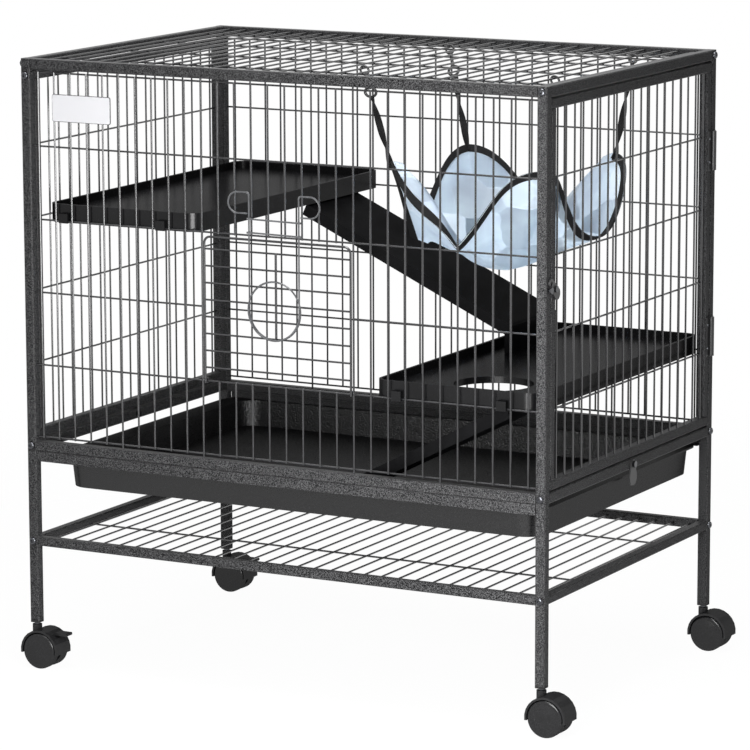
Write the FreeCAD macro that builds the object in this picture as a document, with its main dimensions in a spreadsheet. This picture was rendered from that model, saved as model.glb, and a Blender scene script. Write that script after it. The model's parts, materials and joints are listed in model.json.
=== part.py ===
import FreeCAD, Part
import math
import os
import Sketcher

# Small animal cage on casters: welded tube and wire panels, a side door, a drop-down front door,
# a slide-out tray, two plastic platforms with ramps, a hammock and a wire shelf under the tray.
# +Z is up, the front is -Y and the side door is at +X. Lengths are in millimetres.
# The origin is on the floor, in the middle of the rectangle that the parked casters reach.

Vector = FreeCAD.Vector
doc = FreeCAD.newDocument("small_animal_cage")
sheet = doc.addObject("Spreadsheet::Sheet", "Sizes")

DRIVING_SIZES = {
    # Frame of square tube, from the leg feet up
    "frame_width": 788, "frame_depth": 532, "frame_height": 780,
    "tube_side": 14, "tube_corner": 1.5,
    "leg_length": 217, "spigot_length": 25, "spigot_wall": 1.3, "plug_height": 3,
    "shelf_rise": 109, "shelf_tube": 12.5,
    # Wire mesh
    "wire_diameter": 2.4, "mesh_pitch": 25.4, "bands": 6, "wire_inset": 3,
    "end_wire_gap": 6, "top_wire_gap": 4, "roof_inset": 3.6, "roof_bands": 4, "shelf_bands": 2,
    # Framed side panels: the fixed left one and the door
    "panel_tube": 13, "panel_gap": 1.5, "panel_slit": 2.5,
    # Door hinges and latch
    "hinge_height": 54, "hinge_leaf": 1.5, "hinge_barrel": 7.4, "hinge_pin": 4,
    "hinge_upper_share": 0.745, "hinge_lower_share": 0.264, "hinge_leaf_width": 11,
    "latch_share": 0.517, "latch_arm": 15, "latch_plate": 2, "latch_lift": 38, "latch_stand": 1.2,
    "latch_hook_radius": 6, "latch_tab_radius": 8, "latch_tab_drop": 2,
    "keeper_neck": 4, "keeper_head": 8.6, "head_thickness": 2,
    # Small drop-down door of wire and its sprung latch
    "flap_columns": 10, "flap_wire": 3, "flap_corner": 9, "flap_proud": 0.5,
    "flap_band_share": 0.228, "flap_bands": 8, "flap_side_gap": 3.9,
    "spring_radius": 39, "spring_wire": 2.2, "spring_pitch": 3.4, "loop_radius": 14,
    "spring_share": 0.4145, "loop_share": 0.6766, "loop_end_gap": 0.8, "link_gap": 18,
    # Tray on its two channels
    "channel_wall": 1.5, "channel_height": 14, "channel_ledge": 18, "tray_end_room": 32,
    "tray_shift": 14, "tray_pull_lip": 28, "tray_end_lip": 8,
    "tray_depth": 40, "tray_wall": 3, "tray_rim": 2.5, "tray_corner": 30, "tray_draft": 6,
    "tab_reach": 18, "tab_radius": 11, "tab_neck": 6, "tab_plate": 2, "tab_bolt": 5,
    # Platforms and ramps
    "platform_width": 235, "platform_play": 1.2, "platform_height": 25, "platform_floor": 14,
    "platform_wall": 4, "platform_corner": 18, "hole_diameter": 106, "hole_lip": 4,
    "hole_setback": 97, "hole_offset": 8.5, "hole_depth": 9, "clip_width": 14, "clip_height": 13,
    "clip_near_inset": 25, "clip_far_inset": 40,
    "upper_setback": 20, "lower_setback": 3,
    "ramp_width": 146, "ramp_board": 4, "ramp_skirt": 12, "ramp_tuck": 6,
    "upper_ramp_landing": 43, "upper_ramp_foot": 40, "upper_ramp_setback": 317,
    "lower_ramp_run": 282, "lower_ramp_foot": 18,
    # Hammock
    "hammock_top": 254, "hammock_base": 190, "hammock_height": 146, "hammock_share": 0.4833,
    "hammock_valley": 44, "hammock_cloth": 2, "hammock_setback": 198, "hammock_y": 11,
    "petal_tip_half": 14,
    "strap_width": 10, "strap_thickness": 1.4, "hook_spread_x": 280, "hook_spread_y": 296,
    "hook_skew": 13,
    "snap_ring": 6, "snap_wire": 3, "snap_barrel": 13,
    # Casters
    "caster_height": 62, "caster_trail": 13, "wheel_diameter": 50, "wheel_width": 17,
    "web_thickness": 8, "stem_diameter": 8, "stem_end_rise": 44, "stem_show": 3, "boss_diameter": 13,
    "axle_diameter": 6, "axle_reach": 13.6, "wheel_cap": 3,
    "guard_width": 36, "guard_gap": 1, "guard_wall": 3, "guard_rise": -4,
    "pedal_length": 20, "pedal_width": 15, "pedal_plate": 4, "pedal_start": 19,
    "pedal_ease": 1,
    # Dome-head bolts
    "bolt_head": 9, "bolt_height": 3, "bolt_drop": 16,
    # Clearances
    "running_gap": 0.3, "pin_gap": 0.05,
}

# Sizes that follow from the driving ones, as cells of the same sheet
DERIVED_SIZES = {
    "bottom_rail_rise": "=leg_length + spigot_length",
    "caged_height": "=frame_height - bottom_rail_rise",
    "band_pitch": "=(caged_height - 2 * tube_side - end_wire_gap - top_wire_gap) / (bands - 1)",
    "hinge_upper_rise": "=bottom_rail_rise + hinge_upper_share * caged_height",
    "hinge_lower_rise": "=bottom_rail_rise + hinge_lower_share * caged_height",
    "latch_rise": "=bottom_rail_rise + latch_share * caged_height",
    "spring_rise": "=bottom_rail_rise + spring_share * caged_height",
    "loop_rise": "=bottom_rail_rise + loop_share * caged_height",
    "hammock_floor_rise": "=bottom_rail_rise + hammock_share * caged_height",
    "flap_band_pitch": "=flap_band_share * band_pitch",
    "tray_length": "=frame_width - 2 * tray_end_room",
    "platform_inset": "=wire_inset + 1.5 * wire_diameter + platform_play",
    "platform_depth": "=frame_depth - 2 * platform_inset",
    "platform_spacing": "=frame_width - 2 * tube_side - upper_setback - lower_setback"
                        " - 2 * platform_width",
    "upper_ramp_run": "=platform_spacing + ramp_tuck + upper_ramp_landing",
    "hammock_x": "=frame_width / 2 - caster_trail - hammock_setback",
}
for row, (alias, value) in enumerate({**DRIVING_SIZES, **DERIVED_SIZES}.items(), start=1):
    sheet.set(f"A{row}", alias)
    sheet.set(f"B{row}", str(value))
    sheet.setAlias(f"B{row}", alias)
doc.recompute()


def size(alias):
    """A driving size, read back from the sheet."""
    return float(sheet.get(alias))


# Reference planes of the frame, as formulas on the sheet
LEFT = "(-Sizes.frame_width / 2 - Sizes.caster_trail)"
RIGHT = "(Sizes.frame_width / 2 - Sizes.caster_trail)"
FRONT = "(-Sizes.frame_depth / 2)"
REAR = "(Sizes.frame_depth / 2)"
FOOT = "Sizes.caster_height"
TOP = "(Sizes.caster_height + Sizes.frame_height)"
TUBE = "Sizes.tube_side"
BOTTOM_RAIL = "(Sizes.caster_height + Sizes.bottom_rail_rise)"
INNER_WIDTH = "(Sizes.frame_width - 2 * Sizes.tube_side)"
INNER_DEPTH = "(Sizes.frame_depth - 2 * Sizes.tube_side)"

# The same planes as numbers, for shapes that are drawn point by point
left = -size("frame_width") / 2 - size("caster_trail")
right = size("frame_width") / 2 - size("caster_trail")
front = -size("frame_depth") / 2
rear = size("frame_depth") / 2
foot = size("caster_height")

TURN_TO_X = FreeCAD.Rotation(Vector(0, 1, 0), 90)
TURN_TO_Y = FreeCAD.Rotation(Vector(1, 0, 0), -90)
UPRIGHT = FreeCAD.Rotation()
TURNS = {"x": TURN_TO_X, "y": TURN_TO_Y, "z": UPRIGHT}

nodes = {}


def node(label, obj):
    """Names a finished sub-part."""
    obj.Label = label
    nodes[label] = obj
    return obj


def bind(obj, formulas):
    """Ties an object's sizes to formulas on the sheet."""
    for name, formula in formulas.items():
        obj.setExpression(name, str(formula))
    return obj


def place(obj, corner):
    """Ties an object's place to three formulas."""
    axes = ("Placement.Base.x", "Placement.Base.y", "Placement.Base.z")
    return bind(obj, dict(zip(axes, corner)))


def box(name, sizes, corner):
    """A box with its three sizes and its lowest corner given as formulas."""
    obj = doc.addObject("Part::Box", name)
    bind(obj, dict(zip(("Length", "Width", "Height"), sizes)))
    return place(obj, corner)


def rod(name, diameter, length, start, axis="z"):
    """A round bar from its start point along one axis."""
    obj = doc.addObject("Part::Cylinder", name)
    obj.Placement = FreeCAD.Placement(Vector(), TURNS[axis])
    bind(obj, {"Radius": f"({diameter}) / 2", "Height": length})
    return place(obj, start)


FLATS = 8
SPRING_FLATS = 6
HEAD_SIDES = 12
WHEEL_SIDES = 24


def prism(name, sides, diameter, length, start, axis="z"):
    """A bar with flat sides, measured across its flats. Repeated round pieces are made this way."""
    obj = doc.addObject("Part::Prism", name)
    obj.Polygon = sides
    flat_on = FreeCAD.Rotation(Vector(0, 0, 1), 180 / sides)
    obj.Placement = FreeCAD.Placement(Vector(), TURNS[axis] * flat_on)
    bind(obj, {"Circumradius": f"({diameter}) / 2 / cos({180 / sides} deg)", "Height": length})
    return place(obj, start)


def wire(name, length, start, axis="z"):
    """A mesh wire with eight flats, so that crossing wires lie flat on each other."""
    return prism(name, FLATS, "Sizes.wire_diameter", length, start, axis)


def group(name, members):
    """Separate solids that share one node."""
    obj = doc.addObject("Part::Compound", name)
    obj.Links = members
    return obj


def fuse(name, members):
    """One solid made of several."""
    obj = doc.addObject("Part::MultiFuse", name)
    obj.Shapes = members
    obj.Refine = True
    return obj


def cut(name, base, tool):
    """One solid with another taken out of it."""
    obj = doc.addObject("Part::Cut", name)
    obj.Base = base
    obj.Tool = tool
    return obj


def eased(name, base, reach, wanted):
    """Takes the sharp corner off the edges of a solid that a test picks."""
    doc.recompute()
    picked = [number for number, edge in enumerate(base.Shape.Edges, start=1) if wanted(edge)]
    obj = doc.addObject("Part::Chamfer", name)
    obj.Base = base
    obj.Edges = [(number, reach, reach) for number in picked]
    return obj


def runs_along(axis):
    """Picks straight edges that lie along one axis."""
    along = {"x": Vector(1, 0, 0), "y": Vector(0, 1, 0), "z": Vector(0, 0, 1)}[axis]

    def test(edge):
        straight = isinstance(edge.Curve, Part.Line)
        return straight and abs(edge.tangentAt(edge.FirstParameter).dot(along)) > 0.999
    return test


def bar(name, axis, length, side, corner):
    """A square tube with eased corners, closed at its ends."""
    sizes = {"x": (length, side, side), "y": (side, length, side), "z": (side, side, length)}[axis]
    blank = box(name + "_blank", sizes, corner)
    return eased(name, blank, size("tube_corner"), runs_along(axis))


def solid_node(label, shape):
    """A sub-part whose shape is drawn in code from the sheet's sizes."""
    obj = doc.addObject("Part::Feature", label)
    obj.Shape = shape
    return node(label, obj)


# Tube frame
def end_panel_frame(side, y):
    """Front or rear panel: two upper posts welded to a top and a bottom rail."""
    posts = []
    for hand, x in (("left", LEFT), ("right", f"{RIGHT} - {TUBE}")):
        length = "Sizes.frame_height - Sizes.leg_length"
        post = bar(f"{side}_{hand}_post", "z", length, TUBE, (x, y, f"{FOOT} + Sizes.leg_length"))
        bore = "(Sizes.tube_side - 2 * Sizes.spigot_wall)"
        wall = "Sizes.spigot_wall"
        socket = box(f"{side}_{hand}_socket", (bore, bore, "Sizes.spigot_length"),
                     (f"{x} + {wall}", f"{y} + {wall}", f"{FOOT} + Sizes.leg_length"))
        posts.append(cut(f"{side}_{hand}_post_bored", post, socket))
    inner = f"{LEFT} + {TUBE}"
    top = bar(f"{side}_top_rail", "x", INNER_WIDTH, TUBE, (inner, y, f"{TOP} - {TUBE}"))
    bottom = bar(f"{side}_bottom_rail", "x", INNER_WIDTH, TUBE, (inner, y, BOTTOM_RAIL))
    node(f"{side}_panel_frame", group(f"{side}_panel_frame", posts + [top, bottom]))


def legs():
    """Four lower legs: each plugs into its post and takes a caster stem in a plastic end plug."""
    plugs = []
    play = "Sizes.running_gap / 2"
    for y_name, y in (("front", FRONT), ("rear", f"{REAR} - {TUBE}")):
        for x_name, x in (("left", LEFT), ("right", f"{RIGHT} - {TUBE}")):
            name = f"leg_{y_name}_{x_name}"
            length = "Sizes.leg_length - Sizes.plug_height"
            tube = bar(name + "_tube", "z", length, TUBE, (x, y, f"{FOOT} + Sizes.plug_height"))
            side = "(Sizes.tube_side - 2 * Sizes.spigot_wall - Sizes.running_gap)"
            spigot = box(name + "_spigot", (side, side, "Sizes.spigot_length - Sizes.running_gap"),
                         (f"{x} + Sizes.spigot_wall + {play}", f"{y} + Sizes.spigot_wall + {play}",
                          f"{FOOT} + Sizes.leg_length"))
            middle = (f"{x} + {TUBE} / 2", f"{y} + {TUBE} / 2")
            bore = rod(name + "_bore", "Sizes.stem_diameter + 2 * Sizes.pin_gap",
                       "Sizes.plug_height + 2 * Sizes.spigot_length", middle + (FOOT,))
            node(name, cut(name, fuse(name + "_blank", [tube, spigot]), bore))
            cap = bar(name + "_cap", "z", "Sizes.plug_height", TUBE, (x, y, FOOT))
            hole = rod(name + "_cap_hole", "Sizes.stem_diameter + 2 * Sizes.pin_gap",
                       "Sizes.plug_height", middle + (FOOT,))
            plugs.append(cut(name + "_plug", cap, hole))
    node("leg_plugs", group("leg_plugs", plugs))


def side_rails():
    """Top and bottom rails that bolt the front and rear panels together at both ends."""
    for hand, x in (("left", LEFT), ("right", f"{RIGHT} - {TUBE}")):
        for level, z in (("top", f"{TOP} - {TUBE}"), ("bottom", BOTTOM_RAIL)):
            name = f"{hand}_{level}_rail"
            node(name, bar(name, "y", INNER_DEPTH, TUBE, (x, f"{FRONT} + {TUBE}", z)))


def shelf():
    """Low shelf under the tray: a tube frame between the legs with wires across it."""
    side = "Sizes.shelf_tube"
    z = f"{FOOT} + Sizes.shelf_rise"
    inset = f"({TUBE} - {side}) / 2"
    inner = f"{LEFT} + {TUBE}"
    ends = f"{FRONT} + {TUBE}"
    bars = [
        bar("shelf_front_rail", "x", INNER_WIDTH, side, (inner, f"{FRONT} + {inset}", z)),
        bar("shelf_rear_rail", "x", INNER_WIDTH, side, (inner, f"{REAR} - {inset} - {side}", z)),
        bar("shelf_left_rail", "y", INNER_DEPTH, side, (f"{LEFT} + {inset}", ends, z)),
        bar("shelf_right_rail", "y", INNER_DEPTH, side, (f"{RIGHT} - {inset} - {side}", ends, z)),
    ]
    node("shelf_frame", group("shelf_frame", bars))


# Wire mesh
WIRE = "Sizes.wire_diameter"


def column_count(clear_width):
    """How many wires at the mesh pitch fit a clear width, with about half a pitch at each end."""
    return int(clear_width / size("mesh_pitch") + 0.5)


front_columns = column_count(size("frame_width") - 2 * size("tube_side"))
end_columns = column_count(size("frame_depth") - 2 * (size("tube_side") + size("panel_gap")
                                                      + size("panel_tube")))
BANDS = int(size("bands"))


def column_place(middle, count, number):
    """Formula for the place of one wire in a centred row."""
    return f"({middle} + {number - (count - 1) / 2} * Sizes.mesh_pitch)"


def band_height(number):
    """Formula for the height of one cross wire, counted from the lowest."""
    lowest = f"{BOTTOM_RAIL} + {TUBE} + Sizes.end_wire_gap"
    return f"({lowest} + {number} * Sizes.band_pitch)"


LONG_MIDDLE = "(-Sizes.caster_trail)"
HIGHEST_BAND = band_height(BANDS - 1)
flap_first = (front_columns - int(size("flap_columns"))) // 2
flap_last = flap_first + int(size("flap_columns")) - 1
FLAP_LOW_BAND, FLAP_HIGH_BAND = 1, 3


def reaches_rails(number):
    """The small door's side wires, and one further out on each side, run on to the rails."""
    step = flap_first // 2
    return number in (flap_first - step, flap_first, flap_last, flap_last + step)


def long_wall_wires(side, wall, inward, with_flap):
    """Mesh of the front or rear panel. The front one leaves the small door's opening free."""
    wires = []
    column_y = f"{wall} + {inward} * Sizes.wire_inset"
    band_y = f"{wall} + {inward} * (Sizes.wire_inset + {WIRE})"
    for number in range(front_columns):
        x = column_place(LONG_MIDDLE, front_columns, number)
        low, high = f"{band_height(0)} - {WIRE} / 2", f"{HIGHEST_BAND} + {WIRE} / 2"
        if reaches_rails(number):
            low, high = f"{BOTTOM_RAIL} + {TUBE}", f"{TOP} - {TUBE}"
        spans = [(low, high)]
        if with_flap and flap_first < number < flap_last:
            spans = [(low, f"{band_height(FLAP_LOW_BAND)} + {WIRE} / 2"),
                     (f"{band_height(FLAP_HIGH_BAND)} - {WIRE} / 2", high)]
        for part, (start, end) in enumerate(spans):
            wires.append(wire(f"{side}_column_{number}_{part}", f"({end}) - ({start})",
                             (x, column_y, start)))
    for number in range(BANDS):
        ends = [(f"{LEFT} + {TUBE}", f"{RIGHT} - {TUBE}")]
        if with_flap and FLAP_LOW_BAND < number < FLAP_HIGH_BAND:
            first = column_place(LONG_MIDDLE, front_columns, flap_first)
            last = column_place(LONG_MIDDLE, front_columns, flap_last)
            ends = [(f"{LEFT} + {TUBE}", f"{first} + {WIRE} / 2"),
                    (f"{last} - {WIRE} / 2", f"{RIGHT} - {TUBE}")]
        for part, (start, end) in enumerate(ends):
            wires.append(wire(f"{side}_band_{number}_{part}", f"({end}) - ({start})",
                             (start, band_y, band_height(number)), "x"))
    node(f"{side}_wires", group(f"{side}_wires", wires))


PANEL = "Sizes.panel_tube"
PANEL_FRONT = f"({FRONT} + {TUBE} + Sizes.panel_gap)"
PANEL_REAR = f"({REAR} - {TUBE} - Sizes.panel_gap)"
PANEL_LOW = f"({BOTTOM_RAIL} + {TUBE} + Sizes.panel_slit)"
PANEL_HIGH = f"({TOP} - {TUBE} - Sizes.panel_slit)"


def end_panel(prefix, frame_x, column_x, band_x):
    """Framed mesh panel that fills one end of the cage, as a tube frame and its wires."""
    width = f"({PANEL_REAR} - {PANEL_FRONT})"
    inner_height = f"({PANEL_HIGH} - {PANEL_LOW} - 2 * {PANEL})"
    inner_low = f"({PANEL_LOW} + {PANEL})"
    bars = [
        bar(prefix + "_frame_bottom", "y", width, PANEL, (frame_x, PANEL_FRONT, PANEL_LOW)),
        bar(prefix + "_frame_top", "y", width, PANEL,
            (frame_x, PANEL_FRONT, f"{PANEL_HIGH} - {PANEL}")),
        bar(prefix + "_frame_front", "z", inner_height, PANEL, (frame_x, PANEL_FRONT, inner_low)),
        bar(prefix + "_frame_rear", "z", inner_height, PANEL,
            (frame_x, f"{PANEL_REAR} - {PANEL}", inner_low)),
    ]
    node(prefix + "_frame", group(prefix + "_frame", bars))
    wires = []
    for number in range(end_columns):
        y = column_place("0", end_columns, number)
        wires.append(wire(f"{prefix}_column_{number}", inner_height, (column_x, y, inner_low)))
    for number in range(1, BANDS - 1):
        wires.append(wire(f"{prefix}_band_{number}", f"{width} - 2 * {PANEL}",
                         (band_x, f"{PANEL_FRONT} + {PANEL}", band_height(number)), "y"))
    node(prefix + "_wires", group(prefix + "_wires", wires))


def level_mesh(label, z, bands, edge):
    """Flat mesh between the long rails: many wires along the depth, a few along the length."""
    wires = []
    for number in range(front_columns):
        x = column_place(LONG_MIDDLE, front_columns, number)
        wires.append(wire(f"{label}_column_{number}", f"Sizes.frame_depth - 2 * {edge}",
                         (x, f"{FRONT} + {edge}", z), "y"))
    for number in range(bands):
        y = f"{FRONT} + {edge} + ({number} + 0.5) * (Sizes.frame_depth - 2 * {edge}) / {bands}"
        wires.append(wire(f"{label}_band_{number}", INNER_WIDTH,
                         (f"{LEFT} + {TUBE}", y, f"{z} - {WIRE}"), "x"))
    node(label, group(label, wires))


# Door hinges and latch
HINGE_AXIS_X = f"({RIGHT} + Sizes.hinge_barrel / 2)"
HINGE_AXIS_Y = f"({REAR} - {TUBE} - Sizes.panel_gap / 2)"


def hinges():
    """Two lift-off hinges: a lower knuckle with the pin on the post, an upper one on the door."""
    post_leaves, door_leaves, pins = [], [], []
    leaf, barrel, tall = "Sizes.hinge_leaf", "Sizes.hinge_barrel", "Sizes.hinge_height"
    for name in ("upper", "lower"):
        middle = f"({FOOT} + Sizes.hinge_{name}_rise)"
        low = f"{middle} - {tall} / 2"
        reach = "(Sizes.hinge_leaf_width + Sizes.panel_gap / 2)"
        post_plate = box(name + "_post_plate", (leaf, reach, tall), (RIGHT, HINGE_AXIS_Y, low))
        door_plate = box(name + "_door_plate", (leaf, reach, tall),
                         (RIGHT, f"{HINGE_AXIS_Y} - {reach}", low))
        half = f"({tall} - Sizes.running_gap) / 2"
        lower = rod(name + "_post_knuckle", barrel, half, (HINGE_AXIS_X, HINGE_AXIS_Y, low))
        upper = rod(name + "_door_knuckle", barrel, half,
                    (HINGE_AXIS_X, HINGE_AXIS_Y, f"{middle} + Sizes.running_gap / 2"))
        post_gap = rod(name + "_post_gap", f"{barrel} + 2 * Sizes.running_gap", half,
                       (HINGE_AXIS_X, HINGE_AXIS_Y, f"{middle} + Sizes.running_gap / 2"))
        door_gap = rod(name + "_door_gap", f"{barrel} + 2 * Sizes.running_gap", f"{tall} / 2",
                       (HINGE_AXIS_X, HINGE_AXIS_Y, low))
        bore = rod(name + "_door_bore", "Sizes.hinge_pin + 2 * Sizes.pin_gap", tall,
                   (HINGE_AXIS_X, HINGE_AXIS_Y, low))
        lower_bore = rod(name + "_post_bore", "Sizes.hinge_pin", tall,
                         (HINGE_AXIS_X, HINGE_AXIS_Y, low))
        post_side = cut(name + "_post_side", post_plate, post_gap)
        door_side = cut(name + "_door_side", door_plate, door_gap)
        post_whole = fuse(name + "_post_whole", [post_side, lower])
        door_whole = fuse(name + "_door_whole", [door_side, upper])
        post_leaves.append(cut(name + "_post_leaf", post_whole, lower_bore))
        door_leaves.append(cut(name + "_door_leaf", door_whole, bore))
        pins.append(rod(name + "_hinge_pin", "Sizes.hinge_pin", tall,
                        (HINGE_AXIS_X, HINGE_AXIS_Y, low)))
    node("hinge_leaves_post", group("hinge_leaves_post", post_leaves))
    node("hinge_leaves_door", group("hinge_leaves_door", door_leaves))
    node("hinge_pins", group("hinge_pins", pins))


def plate(outline, thickness, x):
    """A flat plate in a plane of constant x, from a closed chain of edges in y and z."""
    face = Part.Face(Part.Wire(outline))
    solid = face.extrude(Vector(thickness, 0, 0))
    solid.translate(Vector(x, 0, 0))
    return solid


def teardrop(pivot, round_middle, neck, round_radius):
    """Two circles in the yz plane joined by their outer tangents, as edges."""
    along = round_middle - pivot
    length = along.Length
    unit = along / length
    across = Vector(0, -unit.z, unit.y)
    lean = (neck - round_radius) / length
    level = math.sqrt(1 - lean * lean)
    sides = [unit * lean + across * level, unit * lean - across * level]
    start = [pivot + way * neck for way in sides]
    end = [round_middle + way * round_radius for way in sides]
    return [
        Part.LineSegment(start[0], end[0]).toShape(),
        Part.Arc(end[0], round_middle + unit * round_radius, end[1]).toShape(),
        Part.LineSegment(end[1], start[1]).toShape(),
        Part.Arc(start[1], pivot - unit * neck, start[0]).toShape(),
    ]


latch_y = front + size("tube_side") + size("panel_gap") + size("panel_tube") / 2
latch_z = foot + size("latch_rise")
latch_x = right + size("latch_stand")


def door_latch():
    """Hook lever on the door stile. It is stored lifted clear of the headed pin on the post."""
    arm, thick = size("latch_arm"), size("latch_plate")
    tab_radius = size("latch_tab_radius")
    slot = size("keeper_neck") / 2 + size("running_gap")
    out = Vector(1, 0, 0)
    pivot, hook = Vector(0, 0, 0), Vector(0, -arm, 0)
    tab = Vector(0, tab_radius, -size("latch_tab_drop"))
    lever = plate(teardrop(tab, hook, tab_radius, size("latch_hook_radius")), thick, 0)
    seat = Part.makeCylinder(slot, thick, hook, out)
    bore = Part.makeCylinder(size("keeper_neck") / 2 + size("pin_gap"), thick, pivot, out)
    # The mouth is a slot about the pivot, so that the pin leaves it as the lever lifts.
    ring = Part.makeCylinder(arm + slot, thick, pivot, out).cut(
        Part.makeCylinder(arm - slot, thick, pivot, out))
    below = Part.makeBox(thick, arm + slot, arm + slot, Vector(0, -arm - slot, -arm - slot))
    lever = lever.cut([seat, bore, ring.common(below)])
    lever.rotate(Vector(0, 0, 0), Vector(1, 0, 0), -size("latch_lift"))
    lever.translate(Vector(latch_x, latch_y, latch_z))
    solid_node("latch_lever", lever)


def headed_pin(name, y, z, start, reach):
    """A short pin that stands on a side face, with a round head to hold a plate behind it."""
    neck = rod(name + "_neck", "Sizes.keeper_neck", reach, (start, y, z), "x")
    head = rod(name + "_head", "Sizes.keeper_head", "Sizes.head_thickness",
               (f"{start} + {reach}", y, z), "x")
    return fuse(name, [neck, head])


def latch_pins():
    """The keeper on the front post and the rivet that the lever turns on."""
    z = f"{FOOT} + Sizes.latch_rise"
    reach = "(Sizes.latch_stand + Sizes.latch_plate + Sizes.running_gap)"
    node("latch_keeper", headed_pin("latch_keeper", f"{FRONT} + {TUBE} / 2", z, RIGHT, reach))
    rivet_y = f"{PANEL_FRONT} + {PANEL} / 2"
    node("latch_rivet", headed_pin("latch_rivet", rivet_y, z, RIGHT, reach))


# Small drop-down door of wire
flap_axis_y = front + size("wire_inset") + size("wire_diameter")
flap_axis_z = (foot + size("bottom_rail_rise") + size("tube_side") + size("end_wire_gap")
               + FLAP_LOW_BAND * size("band_pitch"))
flap_y = front + size("wire_inset") - size("flap_proud")
FIRST_BAND_SHARE = 0.65


def wire_place(number):
    """Where one front wire stands along the length, as a number."""
    return -size("caster_trail") + (number - (front_columns - 1) / 2) * size("mesh_pitch")


flap_left = wire_place(flap_first) + size("flap_side_gap")
flap_right = wire_place(flap_last) - size("flap_side_gap")
flap_top = (flap_axis_z + (FLAP_HIGH_BAND - FLAP_LOW_BAND) * size("band_pitch")
            - size("wire_diameter") - size("flap_wire"))


def section(start, heading, diameter, sides=FLATS):
    """The outline of a wire with flat sides, square to its heading."""
    side = heading.cross(Vector(1, 0, 0) if abs(heading.x) < 0.5 else Vector(0, 0, 1)).normalize()
    up = heading.cross(side)
    reach = diameter / 2 / math.cos(math.pi / sides)
    angles = [(number + 0.5) * 2 * math.pi / sides for number in range(sides)]
    points = [start + side * (reach * math.cos(a)) + up * (reach * math.sin(a)) for a in angles]
    return Part.makePolygon(points + points[:1])


def tube_along(edges, diameter, sides=FLATS):
    """One unbroken wire along a chain of lines and arcs that are tangent to each other."""
    spine = Part.Wire(edges)
    start = edges[0].valueAt(edges[0].FirstParameter)
    heading = edges[0].tangentAt(edges[0].FirstParameter)
    return spine.makePipeShell([section(start, heading, diameter, sides)], True, False)


def straight_wire(start, run, diameter, sides=FLATS):
    """A straight wire with flat sides from a point along a vector."""
    heading = Vector(run).normalize()
    return Part.Face(section(start, heading, diameter, sides)).extrude(run)


def line(a, b):
    return Part.LineSegment(a, b).toShape()


def arc(a, middle, b):
    return Part.Arc(a, middle, b).toShape()


def flap():
    """Frame bent from one thick wire with an eye round the mesh at each foot, and its cross wires."""
    corner = size("flap_corner")
    eye = size("wire_diameter") / 2 + size("flap_wire") / 2 + size("running_gap")
    lean = corner * (1 - math.sqrt(0.5))
    foot_z = flap_axis_z + eye * 2.5

    def at(x, z):
        return Vector(x, flap_y, z)

    frame = tube_along([
        line(at(flap_left, foot_z), at(flap_left, flap_top - corner)),
        arc(at(flap_left, flap_top - corner), at(flap_left + lean, flap_top - lean),
            at(flap_left + corner, flap_top)),
        line(at(flap_left + corner, flap_top), at(flap_right - corner, flap_top)),
        arc(at(flap_right - corner, flap_top), at(flap_right - lean, flap_top - lean),
            at(flap_right, flap_top - corner)),
        line(at(flap_right, flap_top - corner), at(flap_right, foot_z)),
    ], size("flap_wire"))
    solids = [frame]
    for x in (flap_left, flap_right):
        solids.append(hinge_eye(x, eye, foot_z))
    inner_left = flap_left + size("flap_wire") / 2
    inner_right = flap_right - size("flap_wire") / 2
    radius = size("wire_diameter") / 2
    for number in range(int(size("flap_bands"))):
        z = flap_top - size("flap_wire") / 2 - (number + FIRST_BAND_SHARE) * size("flap_band_pitch")
        solids.append(straight_wire(at(inner_left, z), Vector(inner_right - inner_left, 0, 0),
                                    size("wire_diameter")))
    middle = (flap_left + flap_right) / 2
    high = flap_top - size("flap_wire") / 2 - FIRST_BAND_SHARE * size("flap_band_pitch")
    low = foot + size("spring_rise") - size("spring_radius")
    bar_y = flap_y - radius - size("flap_wire") / 2
    solids.append(straight_wire(Vector(middle, bar_y, low - radius),
                                Vector(0, 0, high - low + 2 * radius), size("flap_wire")))
    solid_node("flap_door", Part.makeCompound(solids))


def hinge_eye(x, eye, foot_z):
    """The foot of one upright: a hook bent round the cross wire that carries the small door."""
    turn = Vector(x, flap_axis_y, flap_axis_z)

    def around(angle):
        return turn + Vector(0, math.cos(angle) * eye, math.sin(angle) * eye)

    start = Vector(x, flap_y, foot_z)
    # The straight foot leaves the eye at the tangent that points up towards the upright.
    offset = start - turn
    reach = math.hypot(offset.y, offset.z)
    angle = math.atan2(offset.z, offset.y) + math.acos(eye / reach)
    touch = around(angle)
    half = math.radians(140)
    return tube_along([line(start, touch),
                       arc(touch, around(angle + half / 2), around(angle + half)),
                       arc(around(angle + half), around(angle + 1.5 * half), around(angle + 2 * half))],
                      size("flap_wire"))


def biarc(start, start_way, end, end_way):
    """Two arcs from one point and heading to another, tangent where they meet."""
    gap = end - start
    ways = start_way + end_way
    square = 2 * (1 - start_way.dot(end_way))
    across = gap.dot(ways)
    if square < 1e-9:
        reach = gap.dot(gap) / (4 * gap.dot(end_way))
    else:
        reach = (-across + math.sqrt(across * across + square * gap.dot(gap))) / square
    knee_a = start + start_way * reach
    knee_b = end - end_way * reach
    joint = (knee_a + knee_b) * 0.5
    edges = []
    for begin, way, stop in ((start, start_way, joint), (joint, (knee_b - knee_a).normalize(), end)):
        chord = stop - begin
        side = chord - way * chord.dot(way)
        if side.Length < 1e-6:
            edges.append(line(begin, stop))
            continue
        side.normalize()
        radius = chord.dot(chord) / (2 * chord.dot(side))
        middle = begin + side * radius
        bulge = (begin + stop) * 0.5 - middle
        edges.append(arc(begin, middle + bulge.normalize() * radius, stop))
    return edges


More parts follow.
